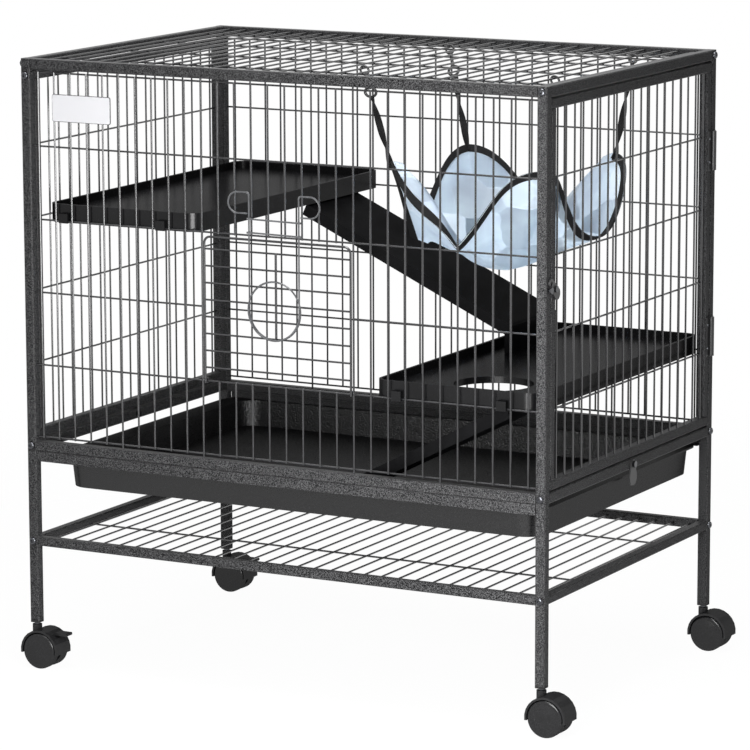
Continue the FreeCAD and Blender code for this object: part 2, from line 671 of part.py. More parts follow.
def flap_spring():
    """Latch of one springy wire: a finger loop, a leg, a turn and a half of coil, a leg and a loop."""
    radius = size("spring_radius")
    pitch = size("spring_pitch")
    loop = size("loop_radius")
    thick = size("spring_wire")
    bend = thick * 1.5
    middle_x = (flap_left + flap_right) / 2
    middle_z = foot + size("spring_rise")
    loop_z = foot + size("loop_rise")
    bar_front = flap_y - size("wire_diameter") / 2 - size("flap_wire")
    near_y = bar_front - thick / 2 - size("running_gap") + pitch / 4
    half_turns = 3

    def coil(turn):
        """A point of the coil and its heading, counted in half turns from the left leg."""
        angle = math.pi + turn * math.pi
        point = Vector(middle_x + radius * math.cos(angle), near_y - pitch * turn / 2,
                       middle_z + radius * math.sin(angle))
        way = Vector(-radius * math.sin(angle), -pitch / (2 * math.pi), radius * math.cos(angle))
        return point, way.normalize()

    def finger_loop(x, y, hand):
        """Leg from the coil up into a D-shaped loop that bulges to one side, free end first."""
        top, low = loop_z + loop, loop_z - loop
        out = hand * (loop + bend)

        def at(dx, z):
            return Vector(x + dx, y, z)

        lean = bend * (1 - math.sqrt(0.5))
        return [
            line(at(hand * (thick + size("loop_end_gap")), low), at(out, low)),
            arc(at(out, low), at(out + hand * loop, loop_z), at(out, top)),
            line(at(out, top), at(hand * bend, top)),
            arc(at(hand * bend, top), at(hand * lean, top - lean), at(0, top - bend)),
            line(at(0, top - bend), at(0, middle_z)),
        ]

    down, up = Vector(0, 0, -1), Vector(0, 0, 1)
    first, last = coil(0)[0], coil(half_turns)[0]
    edges = finger_loop(first.x, first.y, -1)
    quarters = 2 * half_turns
    for quarter in range(quarters):
        a, a_way = coil(quarter / 2)
        b, b_way = coil((quarter + 1) / 2)
        a_way = down if quarter == 0 else a_way
        b_way = up if quarter == quarters - 1 else b_way
        edges += biarc(a, a_way, b, b_way)
    for edge in reversed(finger_loop(last.x, last.y, 1)):
        edges.append(edge.reversed())
    solid_node("flap_spring", tube_along(edges, thick, SPRING_FLATS))
    spots = [coil(step / 40)[0] for step in range(40 * half_turns + 1)]
    apart = [(p - q).Length for i, p in enumerate(spots) for q in spots[i + 40:]]
    print("spring wire: least gap to itself", round(min(apart) - thick, 2), "mm")
    return first, last


def eye_ring(middle, outer, inner, thickness):
    """A small level ring with eight flats about a point."""
    start = middle - Vector(0, 0, thickness / 2)
    run = Vector(0, 0, thickness)
    return straight_wire(start, run, 2 * outer).cut(straight_wire(start, run, 2 * inner))


def spring_links(first, last):
    """Two short guide wires across the legs of the latch, each with an eye round both legs."""
    thick = size("spring_wire")
    inner = thick / 2 + size("running_gap")
    eye = inner + thick * 0.8
    loop_low = foot + size("loop_rise") - size("loop_radius")
    solids = []
    for number in range(2):
        z = loop_low - (number + 0.4) * size("link_gap")
        ends = [Vector(leg.x, leg.y, z) for leg in (first, last)]
        run = ends[1] - ends[0]
        way = Vector(run).normalize()
        link = straight_wire(ends[0] + way * (eye - thick / 4),
                             run - way * (2 * eye - thick / 2), thick)
        for end in ends:
            link = link.fuse(eye_ring(end, eye, inner, thick))
        solids.append(link)
    solid_node("flap_links", Part.makeCompound(solids))


# Tray, its channels and locks
def rounded_rectangle(sketch, length, width, radius):
    """Draws a centred rectangle with round corners. The three sizes are formulas."""
    half_l, half_w, r = 40.0, 30.0, 10.0
    a, b = half_l - r, half_w - r
    corners = [(a, -b), (a, b), (-a, b), (-a, -b)]
    lines = [((-a, -half_w), (a, -half_w)), ((half_l, -b), (half_l, b)),
             ((a, half_w), (-a, half_w)), ((-half_l, b), (-half_l, -b))]
    for start, end in lines:
        sketch.addGeometry(Part.LineSegment(Vector(*start, 0), Vector(*end, 0)))
    for number, middle in enumerate(corners):
        circle = Part.Circle(Vector(*middle, 0), Vector(0, 0, 1), r)
        turn = number * math.pi / 2
        sketch.addGeometry(Part.ArcOfCircle(circle, turn - math.pi / 2, turn))
    for number in range(4):
        sketch.addConstraint(Sketcher.Constraint("Tangent", number, 2, 4 + number, 1))
        sketch.addConstraint(Sketcher.Constraint("Tangent", 4 + number, 2, (number + 1) % 4, 1))
    for number in (0, 2):
        sketch.addConstraint(Sketcher.Constraint("Horizontal", number))
        sketch.addConstraint(Sketcher.Constraint("Vertical", number + 1))
    for number in (4, 5, 6):
        sketch.addConstraint(Sketcher.Constraint("Equal", number, number + 1))
    sketch.addConstraint(Sketcher.Constraint("Symmetric", 4, 3, 6, 3, -1, 1))
    named = {
        "length": (Sketcher.Constraint("DistanceX", 3, 1, 1, 1, 2 * half_l), length),
        "width": (Sketcher.Constraint("DistanceY", 0, 1, 2, 1, 2 * half_w), width),
        "radius": (Sketcher.Constraint("Radius", 4, r), radius),
    }
    for name, (constraint, formula) in named.items():
        sketch.renameConstraint(sketch.addConstraint(constraint), name)
        sketch.setExpression("Constraints." + name, formula)


def flat_sketch(body, name, height, shift="0"):
    """A sketch on the body's ground plane, lifted and shifted along the length by formulas."""
    sketch = body.newObject("Sketcher::SketchObject", name)
    ground = next(f for f in body.Origin.OriginFeatures if f.Role == "XY_Plane")
    sketch.AttachmentSupport = [(ground, "")]
    sketch.MapMode = "FlatFace"
    bind(sketch, {"AttachmentOffset.Base.x": shift, "AttachmentOffset.Base.z": height})
    return sketch


def pad(body, name, sketch, height, draft=0):
    """Grows a sketch upwards."""
    obj = body.newObject("PartDesign::Pad", name)
    obj.Profile = sketch
    bind(obj, {"Length": height})
    if draft:
        bind(obj, {"TaperAngle": draft})
    return obj


def pocket(body, name, sketch, depth, draft=0):
    """Sinks a sketch downwards, and proves that it removed material."""
    doc.recompute()
    before = body.Shape.Volume
    obj = body.newObject("PartDesign::Pocket", name)
    obj.Profile = sketch
    bind(obj, {"Length": depth})
    if draft:
        bind(obj, {"TaperAngle": draft})
    doc.recompute()
    if body.Shape.Volume > before - 1:
        raise RuntimeError(f"{name} cuts nothing")
    return obj


TRAY_WIDTH = "(Sizes.frame_depth - 2 * (Sizes.channel_ledge + Sizes.running_gap * 2))"
TRAY_RIM_LOW = f"({BOTTOM_RAIL} - Sizes.channel_height + Sizes.channel_wall + Sizes.running_gap)"
TRAY_LIP = "(Sizes.channel_ledge - Sizes.tube_side - Sizes.running_gap)"


def tray():
    """Deep tray with sloping walls and a flat rim that hangs on the channels."""
    body = doc.addObject("PartDesign::Body", "tray")
    spread = "(Sizes.tray_depth * tan(Sizes.tray_draft * 1 deg))"
    base = flat_sketch(body, "tray_base", "0")
    rounded_rectangle(base, f"Sizes.tray_length - 2 * {spread}", f"{TRAY_WIDTH} - 2 * {spread}",
                      f"Sizes.tray_corner - {spread} / 2")
    pad(body, "tray_walls", base, "Sizes.tray_depth", "Sizes.tray_draft * 1 deg")
    rim = flat_sketch(body, "tray_rim_outline", "Sizes.tray_depth - Sizes.tray_rim",
                      "(Sizes.tray_end_lip - Sizes.tray_pull_lip) / 2")
    rounded_rectangle(rim, "Sizes.tray_length + Sizes.tray_pull_lip + Sizes.tray_end_lip",
                      f"{TRAY_WIDTH} + 2 * {TRAY_LIP}", f"Sizes.tray_corner + {TRAY_LIP} / 2")
    pad(body, "tray_rim", rim, "Sizes.tray_rim")
    hollow = flat_sketch(body, "tray_hollow_outline", "Sizes.tray_depth")
    rounded_rectangle(hollow, "Sizes.tray_length - 2 * Sizes.tray_wall",
                      f"{TRAY_WIDTH} - 2 * Sizes.tray_wall", "Sizes.tray_corner - Sizes.tray_wall")
    pocket(body, "tray_hollow", hollow, "Sizes.tray_depth - Sizes.tray_wall",
           "-Sizes.tray_draft * 1 deg")
    place(body, (f"{LONG_MIDDLE} + Sizes.tray_shift", "0",
                 f"{TRAY_RIM_LOW} + Sizes.tray_rim - Sizes.tray_depth"))
    node("tray", body)


def tray_channel(side, wall, ledge_start):
    """Folded channel under a long bottom rail. The tray's rim slides on its ledge."""
    thin = "Sizes.channel_wall"
    length = f"({INNER_WIDTH} - 2 * Sizes.running_gap)"
    x = f"{LEFT} + {TUBE} + Sizes.running_gap"
    low = f"{BOTTOM_RAIL} - Sizes.channel_height"
    web = box(side + "_channel_web", (length, thin, "Sizes.channel_height"), (x, wall, low))
    ledge = box(side + "_channel_ledge", (length, "Sizes.channel_ledge", thin), (x, ledge_start, low))
    flange_start = wall if side == "front" else f"{REAR} - {TUBE}"
    flange = box(side + "_channel_flange", (length, TUBE, thin),
                 (x, flange_start, f"{BOTTOM_RAIL} - {thin}"))
    node(f"tray_channel_{side}", fuse(f"tray_channel_{side}", [web, ledge, flange]))


tab_z = foot + size("bottom_rail_rise") + size("tube_side") / 2


def round_head(start, way):
    """A low round head on a face."""
    return straight_wire(start, way * size("bolt_height"), size("bolt_head"), HEAD_SIDES)


def tray_locks():
    """A swinging tab at each end of the tray, on a bolt through the end rail."""
    bolts = []
    gap = size("running_gap")
    for hand, wall, way in (("left", left, -1), ("right", right, 1)):
        pivot = Vector(0, 0, tab_z)
        hang = Vector(0, 0, -1) if hand == "right" else Vector(0, 1, 0)
        disc = pivot + hang * size("tab_reach")
        near = wall + way * gap if way > 0 else wall - gap - size("tab_plate")
        tab = plate(teardrop(pivot, disc, size("tab_neck"), size("tab_radius")),
                    size("tab_plate"), near)
        bore = size("tab_bolt") / 2 + size("pin_gap")
        tab = tab.cut(Part.makeCylinder(bore, size("tab_plate"), Vector(near, 0, tab_z),
                                        Vector(1, 0, 0)))
        solid_node(f"tray_lock_{hand}", tab)
        shank = 2 * gap + size("tab_plate")
        out = Vector(way, 0, 0)
        bolt_shank = Part.makeCylinder(size("tab_bolt") / 2, shank, Vector(wall, 0, tab_z), out)
        head = round_head(Vector(wall + way * shank, 0, tab_z), out)
        nut = round_head(Vector(wall - way * size("tube_side"), 0, tab_z), -out)
        bolts += [bolt_shank.fuse(head), nut]
    solid_node("tray_lock_bolts", Part.makeCompound(bolts))


# Platforms and ramps
PLATFORM_FRONT = f"({FRONT} + Sizes.platform_inset)"
platform_front = front + size("platform_inset")
MESH_REAR = f"({REAR} - Sizes.wire_inset - {WIRE})"


def clip_columns(edge):
    """The two mesh gaps, near the ends of a platform that starts at an edge, that take its clips."""
    first = (edge + size("clip_near_inset") - wire_place(0)) / size("mesh_pitch") - 0.5
    far_edge = edge + size("platform_width") - size("clip_far_inset")
    last = (far_edge - wire_place(0)) / size("mesh_pitch") - 0.5
    return math.ceil(first), math.floor(last)


def platform(label, x, band, hole, clips):
    """Shallow plastic tray that clips on the cross wires of the front and rear panels."""
    body = doc.addObject("PartDesign::Body", label + "_tray")
    outline = flat_sketch(body, label + "_outline", "0")
    rounded_rectangle(outline, "Sizes.platform_width", "Sizes.platform_depth",
                      "Sizes.platform_corner")
    pad(body, label + "_pad", outline, "Sizes.platform_height")
    inner = flat_sketch(body, label + "_inner", "Sizes.platform_height")
    rounded_rectangle(inner, "Sizes.platform_width - 2 * Sizes.platform_wall",
                      "Sizes.platform_depth - 2 * Sizes.platform_wall",
                      "Sizes.platform_corner - Sizes.platform_wall")
    pocket(body, label + "_well", inner, "Sizes.platform_height - Sizes.platform_floor")
    under = flat_sketch(body, label + "_under", "Sizes.platform_floor - Sizes.platform_wall")
    rounded_rectangle(under, "Sizes.platform_width - 2 * Sizes.platform_wall",
                      "Sizes.platform_depth - 2 * Sizes.platform_wall",
                      "Sizes.platform_corner - Sizes.platform_wall")
    pocket(body, label + "_underside", under, "Sizes.platform_floor - Sizes.platform_wall")
    low = f"({band_height(band)} - {WIRE} / 2 - Sizes.platform_play)"
    place(body, (f"{x} + Sizes.platform_width / 2", f"{PLATFORM_FRONT} + Sizes.platform_depth / 2",
                 low))
    pieces = [body]
    for number, column in enumerate(clips):
        middle = f"({column_place(LONG_MIDDLE, front_columns, column)} + Sizes.mesh_pitch / 2)"
        start = f"{middle} - Sizes.clip_width / 2"
        reach = f"({PLATFORM_FRONT} - {FRONT} - Sizes.running_gap)"
        back = f"({REAR} - Sizes.running_gap - {PLATFORM_FRONT} - Sizes.platform_depth)"
        pieces.append(box(f"{label}_front_clip_{number}", ("Sizes.clip_width", reach,
                      "Sizes.clip_height"), (start, f"{PLATFORM_FRONT} - {reach}", low)))
        pieces.append(box(f"{label}_rear_clip_{number}", ("Sizes.clip_width", back,
                      "Sizes.clip_height"),
                      (start, f"{PLATFORM_FRONT} + Sizes.platform_depth", low)))
    tools = []
    groove = f"({WIRE} + 2 * Sizes.running_gap)"
    rise = f"({band_height(band)} + {WIRE} / 2 - {low})"
    for end, y in (("front", f"{FRONT} + Sizes.wire_inset + {WIRE}"), ("rear", MESH_REAR)):
        tools.append(box(f"{label}_{end}_groove", ("Sizes.platform_width", groove, rise),
                         (x, f"{y} - {groove} / 2", low)))
    if hole:
        ring = "(Sizes.hole_diameter + 2 * Sizes.hole_lip)"
        spot = (f"{x} + Sizes.platform_width / 2 + Sizes.hole_offset",
                f"{PLATFORM_FRONT} + Sizes.hole_setback")
        pieces.append(rod(label + "_hole_lip", ring, "Sizes.hole_depth",
                          spot + (f"{low} + Sizes.platform_floor - Sizes.hole_depth",)))
        tools.append(rod(label + "_hole", "Sizes.hole_diameter", "2 * Sizes.platform_height",
                         spot + (f"{low} - Sizes.platform_height / 2",)))
    node(label, cut(label, fuse(label + "_whole", pieces), fuse(label + "_openings", tools)))


def ramp(label, high, low, rise, y, hook=0):
    """Inclined board with skirts along both edges and a foot at its lower end. Where the top end
    hangs below its platform, an upright hook there reaches up to it."""
    board, skirt, width = size("ramp_board"), size("ramp_skirt"), size("ramp_width")
    slope = low + Vector(0, 0, rise) - high
    down = Vector(slope).normalize()
    square = Vector(-down.z, 0, down.x) if down.x > 0 else Vector(down.z, 0, -down.x)
    end = high + slope

    def slab(points, start, thickness):
        solid = flat_face(points).extrude(Vector(0, thickness, 0))
        solid.translate(Vector(0, start - points[0].y, 0))
        return solid

    top = [high, end, end - square * board, high - square * board]
    side = [high, end, end - square * (board + skirt), high - square * (board + skirt)]
    back = end - down * board * 2
    toe = [end, Vector(end.x, end.y, low.z), Vector(back.x, end.y, low.z),
           Vector(back.x, end.y, back.z)]
    solids = [slab(top, y, width), slab(side, y, board), slab(side, y + width - board, board),
              slab(toe, y, width)]
    if hook:
        heel, outward = Vector(0, 0, -2 * board), Vector(board, 0, 0)
        upright = [high + heel, high + Vector(0, 0, hook), high + Vector(0, 0, hook) + outward,
                   high + heel + outward]
        solids.append(slab(upright, y, width))
    whole = solids[0].multiFuse(solids[1:]).removeSplitter()
    outer = [edge for edge in whole.Edges if abs(edge.tangentAt(0).y) > 0.999
             and edge.Length > width - 1 and (edge.CenterOfMass - end).dot(down) > -1
             and abs(edge.CenterOfMass.z - end.z) < 1]
    solid_node(label, whole.makeFillet(board * 1.5, outer) if outer else whole)


platform_low = {band: foot + size("bottom_rail_rise") + size("tube_side") + size("end_wire_gap")
                + band * size("band_pitch") - size("wire_diameter") / 2 - size("platform_play")
                for band in (1, 3)}
upper_left = left + size("tube_side") + size("upper_setback")
lower_left = right - size("tube_side") - size("lower_setback") - size("platform_width")
UPPER_LEFT = f"({LEFT} + {TUBE} + Sizes.upper_setback)"
LOWER_LEFT = f"({RIGHT} - {TUBE} - Sizes.lower_setback - Sizes.platform_width)"


def ramps():
    """One ramp from the upper platform to the lower, one from the hole down to the tray."""
    gap = size("running_gap")
    edge = upper_left + size("platform_width")
    high = Vector(edge - size("ramp_tuck"), 0, platform_low[3] - gap)
    floor = platform_low[1] + size("platform_floor") + gap
    ramp("upper_ramp", high, Vector(high.x + size("upper_ramp_run"), 0, floor),
         size("upper_ramp_foot"), front + size("upper_ramp_setback"))
    hole_x = lower_left + size("platform_width") / 2 + size("hole_offset")
    hole_y = platform_front + size("hole_setback")
    top = Vector(hole_x + size("hole_diameter") / 2, 0, platform_low[1] - gap)
    tray_floor = (foot + size("bottom_rail_rise") - size("channel_height") + size("channel_wall")
                  + gap + size("tray_rim") - size("tray_depth") + size("tray_wall") + 2 * gap)
    ramp("lower_ramp", top, Vector(top.x - size("lower_ramp_run"), 0, tray_floor),
         size("lower_ramp_foot"), hole_y - size("ramp_width") / 2,
         hook=size("platform_floor") - size("hole_depth"))


# Hammock
CORNER_FACETS = 3
CORNER_SHARE = 0.35
FLOOR_SHARE = 0.72
KNEE_SHARE = 0.16


def square_ring(half, z):
    """Points of a level square about the hammock's middle, each corner turned in short sides."""
    corner = half * CORNER_SHARE
    flat = half - corner
    points = []
    for turn in range(4):
        middle = FreeCAD.Rotation(Vector(0, 0, 1), 90 * turn).multVec(Vector(flat, flat, 0))
        for step in range(CORNER_FACETS + 1):
            angle = math.pi / 2 * (turn + step / CORNER_FACETS)
            points.append(Vector(size("hammock_x"), size("hammock_y"), z) + middle
                          + Vector(corner * math.cos(angle), corner * math.sin(angle), 0))
    return points


def flat_face(points):
    return Part.Face(Part.makePolygon(points + points[:1]))


def basket(shrink, lift):
    """The sling as a solid block: a rounded floor that widens to the four petal tips."""
    low = foot + size("hammock_floor_rise")
    top = low + size("hammock_height")
    base, wide = size("hammock_base") / 2, size("hammock_top") / 2
    levels = [(base * FLOOR_SHARE, low), (base, low + (top - low) * KNEE_SHARE), (wide, top)]
    rings = [square_ring(half - shrink, z + lift) for half, z in levels]
    faces = [flat_face(rings[0]), flat_face(rings[-1])]
    for lower, upper in zip(rings, rings[1:]):
        for number in range(len(lower)):
            after = (number + 1) % len(lower)
            faces.append(flat_face([lower[number], lower[after], upper[after], upper[number]]))
    return Part.Solid(Part.Shell(faces))


VALLEY_SIDES = 14
VALLEY_OVERRUN = 5


def valley(axis):
    """The notch that is cut between two round petals, through both opposite walls."""
    low = foot + size("hammock_floor_rise")
    reach = size("hammock_top")
    half = reach / 2 - size("petal_tip_half")
    x, y = size("hammock_x"), size("hammock_y")
    height = low + size("hammock_height") + VALLEY_OVERRUN
    dip = low + size("hammock_valley")

    def at(across, z):
        return Vector(x + across, y - reach, z) if axis == "y" else Vector(x - reach, y + across, z)

    dip_points = []
    for step in range(VALLEY_SIDES + 1):
        across = half * (2 * step / VALLEY_SIDES - 1)
        rise = math.sin(math.pi / 2 * abs(across) / half)
        dip_points.append(at(across, dip + (height - dip) * rise))
    through = Vector(0, 2 * reach, 0) if axis == "y" else Vector(2 * reach, 0, 0)
    return flat_face(dip_points).extrude(through)


def hammock_corners():
    """Where each petal tip is tied, and the point of the roof mesh above it."""
    x, y = size("hammock_x"), size("hammock_y")
    half = size("hammock_top") / 2
    corner_reach = CORNER_SHARE * math.sqrt(0.5) * math.cos(math.pi / 4 / CORNER_FACETS)
    tip = half * (1 - CORNER_SHARE + corner_reach) - size("hammock_cloth") * 0.5
    tip_z = foot + size("hammock_floor_rise") + size("hammock_height")
    roof_z = foot + size("frame_height") - size("roof_inset")
    for way_x in (-1, 1):
        for way_y in (-1, 1):
            anchor = x + way_x * size("hook_spread_x") / 2 - way_y * size("hook_skew")
            nearest = round((anchor - wire_place(0)) / size("mesh_pitch"))
            hook = Vector(wire_place(nearest), y + way_y * size("hook_spread_y") / 2, roof_z)
            yield Vector(x + way_x * tip, y + way_y * tip, tip_z), hook


def hammock():
    """Cloth sling with four petals, webbing straps and snap hooks on the roof wires."""
    cloth = size("hammock_cloth")
    shell = basket(0, 0).cut(basket(cloth, cloth))
    shell = shell.cut(valley("x")).cut(valley("y"))
    solid_node("hammock_cloth", shell.removeSplitter())
    ring, thick, barrel = size("snap_ring"), size("snap_wire"), size("snap_barrel")
    straps, snaps = [], []
    for tip, hook in hammock_corners():
        drop = ring - thick / 2 - size("wire_diameter") / 2 - size("running_gap")
        ring_middle = hook - Vector(0, 0, drop)
        eye_middle = ring_middle - Vector(0, 0, 2 * ring + barrel)
        snaps.append(snap_link(ring_middle, eye_middle))
        start = eye_middle - Vector(0, 0, ring + thick / 2 + size("running_gap"))
        run = tip + Vector(0, 0, size("running_gap")) - start
        straps.append(strap(start, run))
    solid_node("hammock_straps", Part.makeCompound(straps))
    solid_node("snap_hooks", Part.makeCompound(snaps))


def snap_link(ring_middle, eye_middle):
    """A snap hook as a flat link: a ring round the roof wire and an eye for the strap."""
    thick = size("snap_wire")
    outer, inner = size("snap_ring") + thick / 2, size("snap_ring") - thick / 2
    through = Vector(0, thick, 0)

    def disc(middle, radius):
        return straight_wire(middle - through * 0.5, through, 2 * radius, HEAD_SIDES)

    drop = eye_middle - ring_middle
    neck = Part.makeBox(thick * 2, thick, drop.Length,
                        eye_middle - Vector(thick, thick / 2, 0))
    link = neck.fuse([disc(ring_middle, outer), disc(eye_middle, outer)])
    return link.cut([disc(ring_middle, inner), disc(eye_middle, inner)])


def strap(start, run):
    """A straight length of webbing between level cuts."""
    wide, thick = size("strap_width"), size("strap_thickness")
    flat = Part.makePlane(wide, thick, start - Vector(wide / 2, thick / 2, 0))
    return flat.extrude(run)


# Casters
WHEEL_R = "Sizes.wheel_diameter / 2"
STEM_LOW = "Sizes.stem_end_rise"


def caster_disc(name, axle_x, y, margin, widen=1):
    """A disc about the axle that is larger than the wheels by a margin."""
    return prism(name, WHEEL_SIDES, f"2 * ({WHEEL_R} + {margin})", f"{widen} * Sizes.guard_width",
                 (axle_x, f"{y} - {widen} * Sizes.guard_width / 2", WHEEL_R), "y")


def caster(name, x, y, braked):
    """Twin-wheel caster that trails its stem: hood with axle, two wheels, and a brake pedal."""
    axle_x = f"({x} + Sizes.caster_trail)"
    web = "Sizes.web_thickness"
    gap = "Sizes.running_gap"
    boss_low = f"({WHEEL_R} + Sizes.guard_gap)"
    boss = prism(name + "_boss", HEAD_SIDES, "Sizes.boss_diameter",
                 f"Sizes.caster_height - Sizes.stem_show - {boss_low}", (x, y, boss_low))
    guard = caster_disc(name + "_guard", axle_x, y, "Sizes.guard_gap + Sizes.guard_wall")
    arch = cut(name + "_arch", guard, caster_disc(name + "_guard_inner", axle_x, y, "Sizes.guard_gap", 2))
    low_limit = f"({WHEEL_R} + Sizes.guard_rise)"
    lower = box(name + "_guard_lower", ("2 * Sizes.wheel_diameter", "2 * Sizes.guard_width",
                "Sizes.wheel_diameter"),
                (f"{axle_x} - Sizes.wheel_diameter", f"{y} - Sizes.guard_width",
                 f"{low_limit} - Sizes.wheel_diameter"))
    boss_room = caster_disc(name + "_boss_room", axle_x, y, "Sizes.guard_gap", 2)
    web_tall = f"{WHEEL_R} + Sizes.guard_gap + Sizes.axle_diameter"
    web_plate = box(name + "_web", (WHEEL_R, web, web_tall),
                    (f"{axle_x} - {WHEEL_R} / 2", f"{y} - {web} / 2",
                     f"{WHEEL_R} - Sizes.axle_diameter"))
    axle = rod(name + "_axle", "Sizes.axle_diameter", f"{web} + 2 * Sizes.axle_reach",
               (axle_x, f"{y} - {web} / 2 - Sizes.axle_reach", WHEEL_R), "y")
    hood = fuse(name + "_hood_whole", [cut(name + "_guard_trimmed", arch, lower),
                                       cut(name + "_boss_trimmed", boss, boss_room), web_plate, axle])
    socket = rod(name + "_socket", "Sizes.stem_diameter + 2 * Sizes.pin_gap",
                 "Sizes.caster_height", (x, y, STEM_LOW))
    node(name + "_hood", cut(name + "_hood", hood, socket))
    for side, way in (("front", -1), ("rear", 1)):
        start = f"{y} + {way} * ({web} / 2 + {gap})"
        if way < 0:
            start += " - Sizes.wheel_width"
        blank = prism(f"{name}_{side}_tyre", WHEEL_SIDES, "Sizes.wheel_diameter",
                      "Sizes.wheel_width", (axle_x, start, WHEEL_R), "y")
        bore = rod(f"{name}_{side}_bore", "Sizes.axle_diameter + 2 * Sizes.pin_gap",
                   "Sizes.wheel_width - Sizes.wheel_cap",
                   (axle_x, start if way > 0 else f"{start} + Sizes.wheel_cap", WHEEL_R), "y")
        node(f"{name}_wheel_{side}", cut(f"{name}_wheel_{side}", blank, bore))
    if braked:
        guard_top = f"sqrt(({WHEEL_R} + Sizes.guard_gap + Sizes.guard_wall)^2 - Sizes.pedal_start^2)"
        pedal = box(name + "_pedal_blank", ("Sizes.pedal_length", "Sizes.pedal_width",
                    "Sizes.pedal_plate"),
                    (f"{axle_x} + Sizes.pedal_start", f"{y} - Sizes.pedal_width / 2",
                     f"{WHEEL_R} + {guard_top} + {gap}"))
        node(name + "_brake", eased(name + "_brake", pedal, size("pedal_ease"), runs_along("y")))


def caster_stems():
    """Steel stems pressed up into the legs. Each hood turns on the lower end of one."""
    stems = []
    for y_name, y in (("front", FRONT), ("rear", f"{REAR} - {TUBE}")):
        for x_name, x in (("left", LEFT), ("right", f"{RIGHT} - {TUBE}")):
            middle = (f"{x} + {TUBE} / 2", f"{y} + {TUBE} / 2")
            low = f"{STEM_LOW} + Sizes.running_gap"
            high = f"{FOOT} + 2 * Sizes.spigot_length"
            stems.append(rod(f"stem_{y_name}_{x_name}", "Sizes.stem_diameter", f"{high} - ({low})",
                             middle + (low,)))
            caster(f"caster_{y_name}_{x_name}", *middle, braked=x_name == "left")
    node("caster_stems", group("caster_stems", stems))


# Bolts that join the panels
def bolt(name, x, y, z, axis, way):
    """A low round head that stands out of a post along one axis."""
    reach = "" if way > 0 else " - Sizes.bolt_height"
    start = (x + reach, y, z) if axis == "x" else (x, y + reach, z)
    return prism(name, HEAD_SIDES, "Sizes.bolt_head", "Sizes.bolt_height", start, axis)


def bolts():
    """Dome-head bolts at the top rails, bottom rails and shelf: in front on the front posts, and at
    the ends on the rear posts. The top ones on the left sit lower, below the rail."""
    heads = []
    half = f"{TUBE} / 2"
    levels = {"top": f"Sizes.frame_height - {half}",
              "bottom": f"Sizes.bottom_rail_rise + {half}",
              "shelf": "Sizes.shelf_rise + Sizes.shelf_tube / 2"}
    for level, rise in levels.items():
        for hand, edge, way in (("left", LEFT, -1), ("right", RIGHT, 1)):
            drop = " - Sizes.bolt_drop" if level == "top" and hand == "left" else ""
            z = f"{FOOT} + {rise}{drop}"
            heads.append(bolt(f"bolt_{level}_{hand}_front", f"{edge} - {way} * {half}", FRONT, z,
                              "y", -1))
            heads.append(bolt(f"bolt_{level}_{hand}_rear", edge, f"{REAR} - {half}", z, "x", way))
    heads.append(bolt("bolt_corner", LEFT, f"{FRONT} + {half}", f"{TOP} - {half}", "x", -1))
    node("frame_bolts", group("frame_bolts", heads))


def build():
    end_panel_frame("front", FRONT)
    end_panel_frame("rear", f"{REAR} - {TUBE}")
    legs()
    side_rails()
    shelf()
    long_wall_wires("front", FRONT, 1, True)
    long_wall_wires("rear", REAR, -1, False)
    end_panel("left_panel", LEFT, f"{LEFT} + Sizes.wire_inset",
              f"{LEFT} + Sizes.wire_inset + {WIRE}")
    end_panel("door", f"{RIGHT} - {PANEL}", f"{RIGHT} - Sizes.wire_inset",
              f"{RIGHT} - Sizes.wire_inset - {WIRE}")
    level_mesh("roof_wires", f"{TOP} - Sizes.roof_inset", int(size("roof_bands")), TUBE)
    level_mesh("shelf_wires", f"{FOOT} + Sizes.shelf_rise + Sizes.shelf_tube / 2",
               int(size("shelf_bands")), f"({TUBE} / 2 + Sizes.shelf_tube / 2)")
    hinges()
    door_latch()
    latch_pins()
    flap()
    spring_links(*flap_spring())
    tray()
    tray_channel("front", FRONT, FRONT)
    tray_channel("rear", f"{REAR} - Sizes.channel_wall", f"{REAR} - Sizes.channel_ledge")
    tray_locks()
    platform("upper_platform", UPPER_LEFT, 3, False, clip_columns(upper_left))
    platform("lower_platform", LOWER_LEFT, 1, True, clip_columns(lower_left))
    ramps()
    hammock()
    caster_stems()
    bolts()


def check_and_write():
    """Stops on any failed object or empty shape, then writes one file for each sub-part."""
    doc.recompute()
    for obj in doc.Objects:
        if "Invalid" in obj.State or "Error" in obj.State:
            raise RuntimeError(f"{obj.Name} failed: {obj.State}")
    for label, obj in nodes.items():
        if obj.Shape.isNull() or not obj.Shape.isValid() or not obj.Shape.Solids:
            raise RuntimeError(f"{label} has no valid solid")
    os.makedirs("parts", exist_ok=True)
    for label, obj in nodes.items():
        obj.Shape.exportStep(f"parts/{label}.step")
    print(len(nodes), "sub-parts,", sum(len(obj.Shape.Solids) for obj in nodes.values()), "solids")


build()
check_and_write()
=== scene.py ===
import json
import math

import bmesh
import bpy
from bpy.props import FloatProperty, FloatVectorProperty, IntProperty, PointerProperty
from mathutils import Matrix, Vector

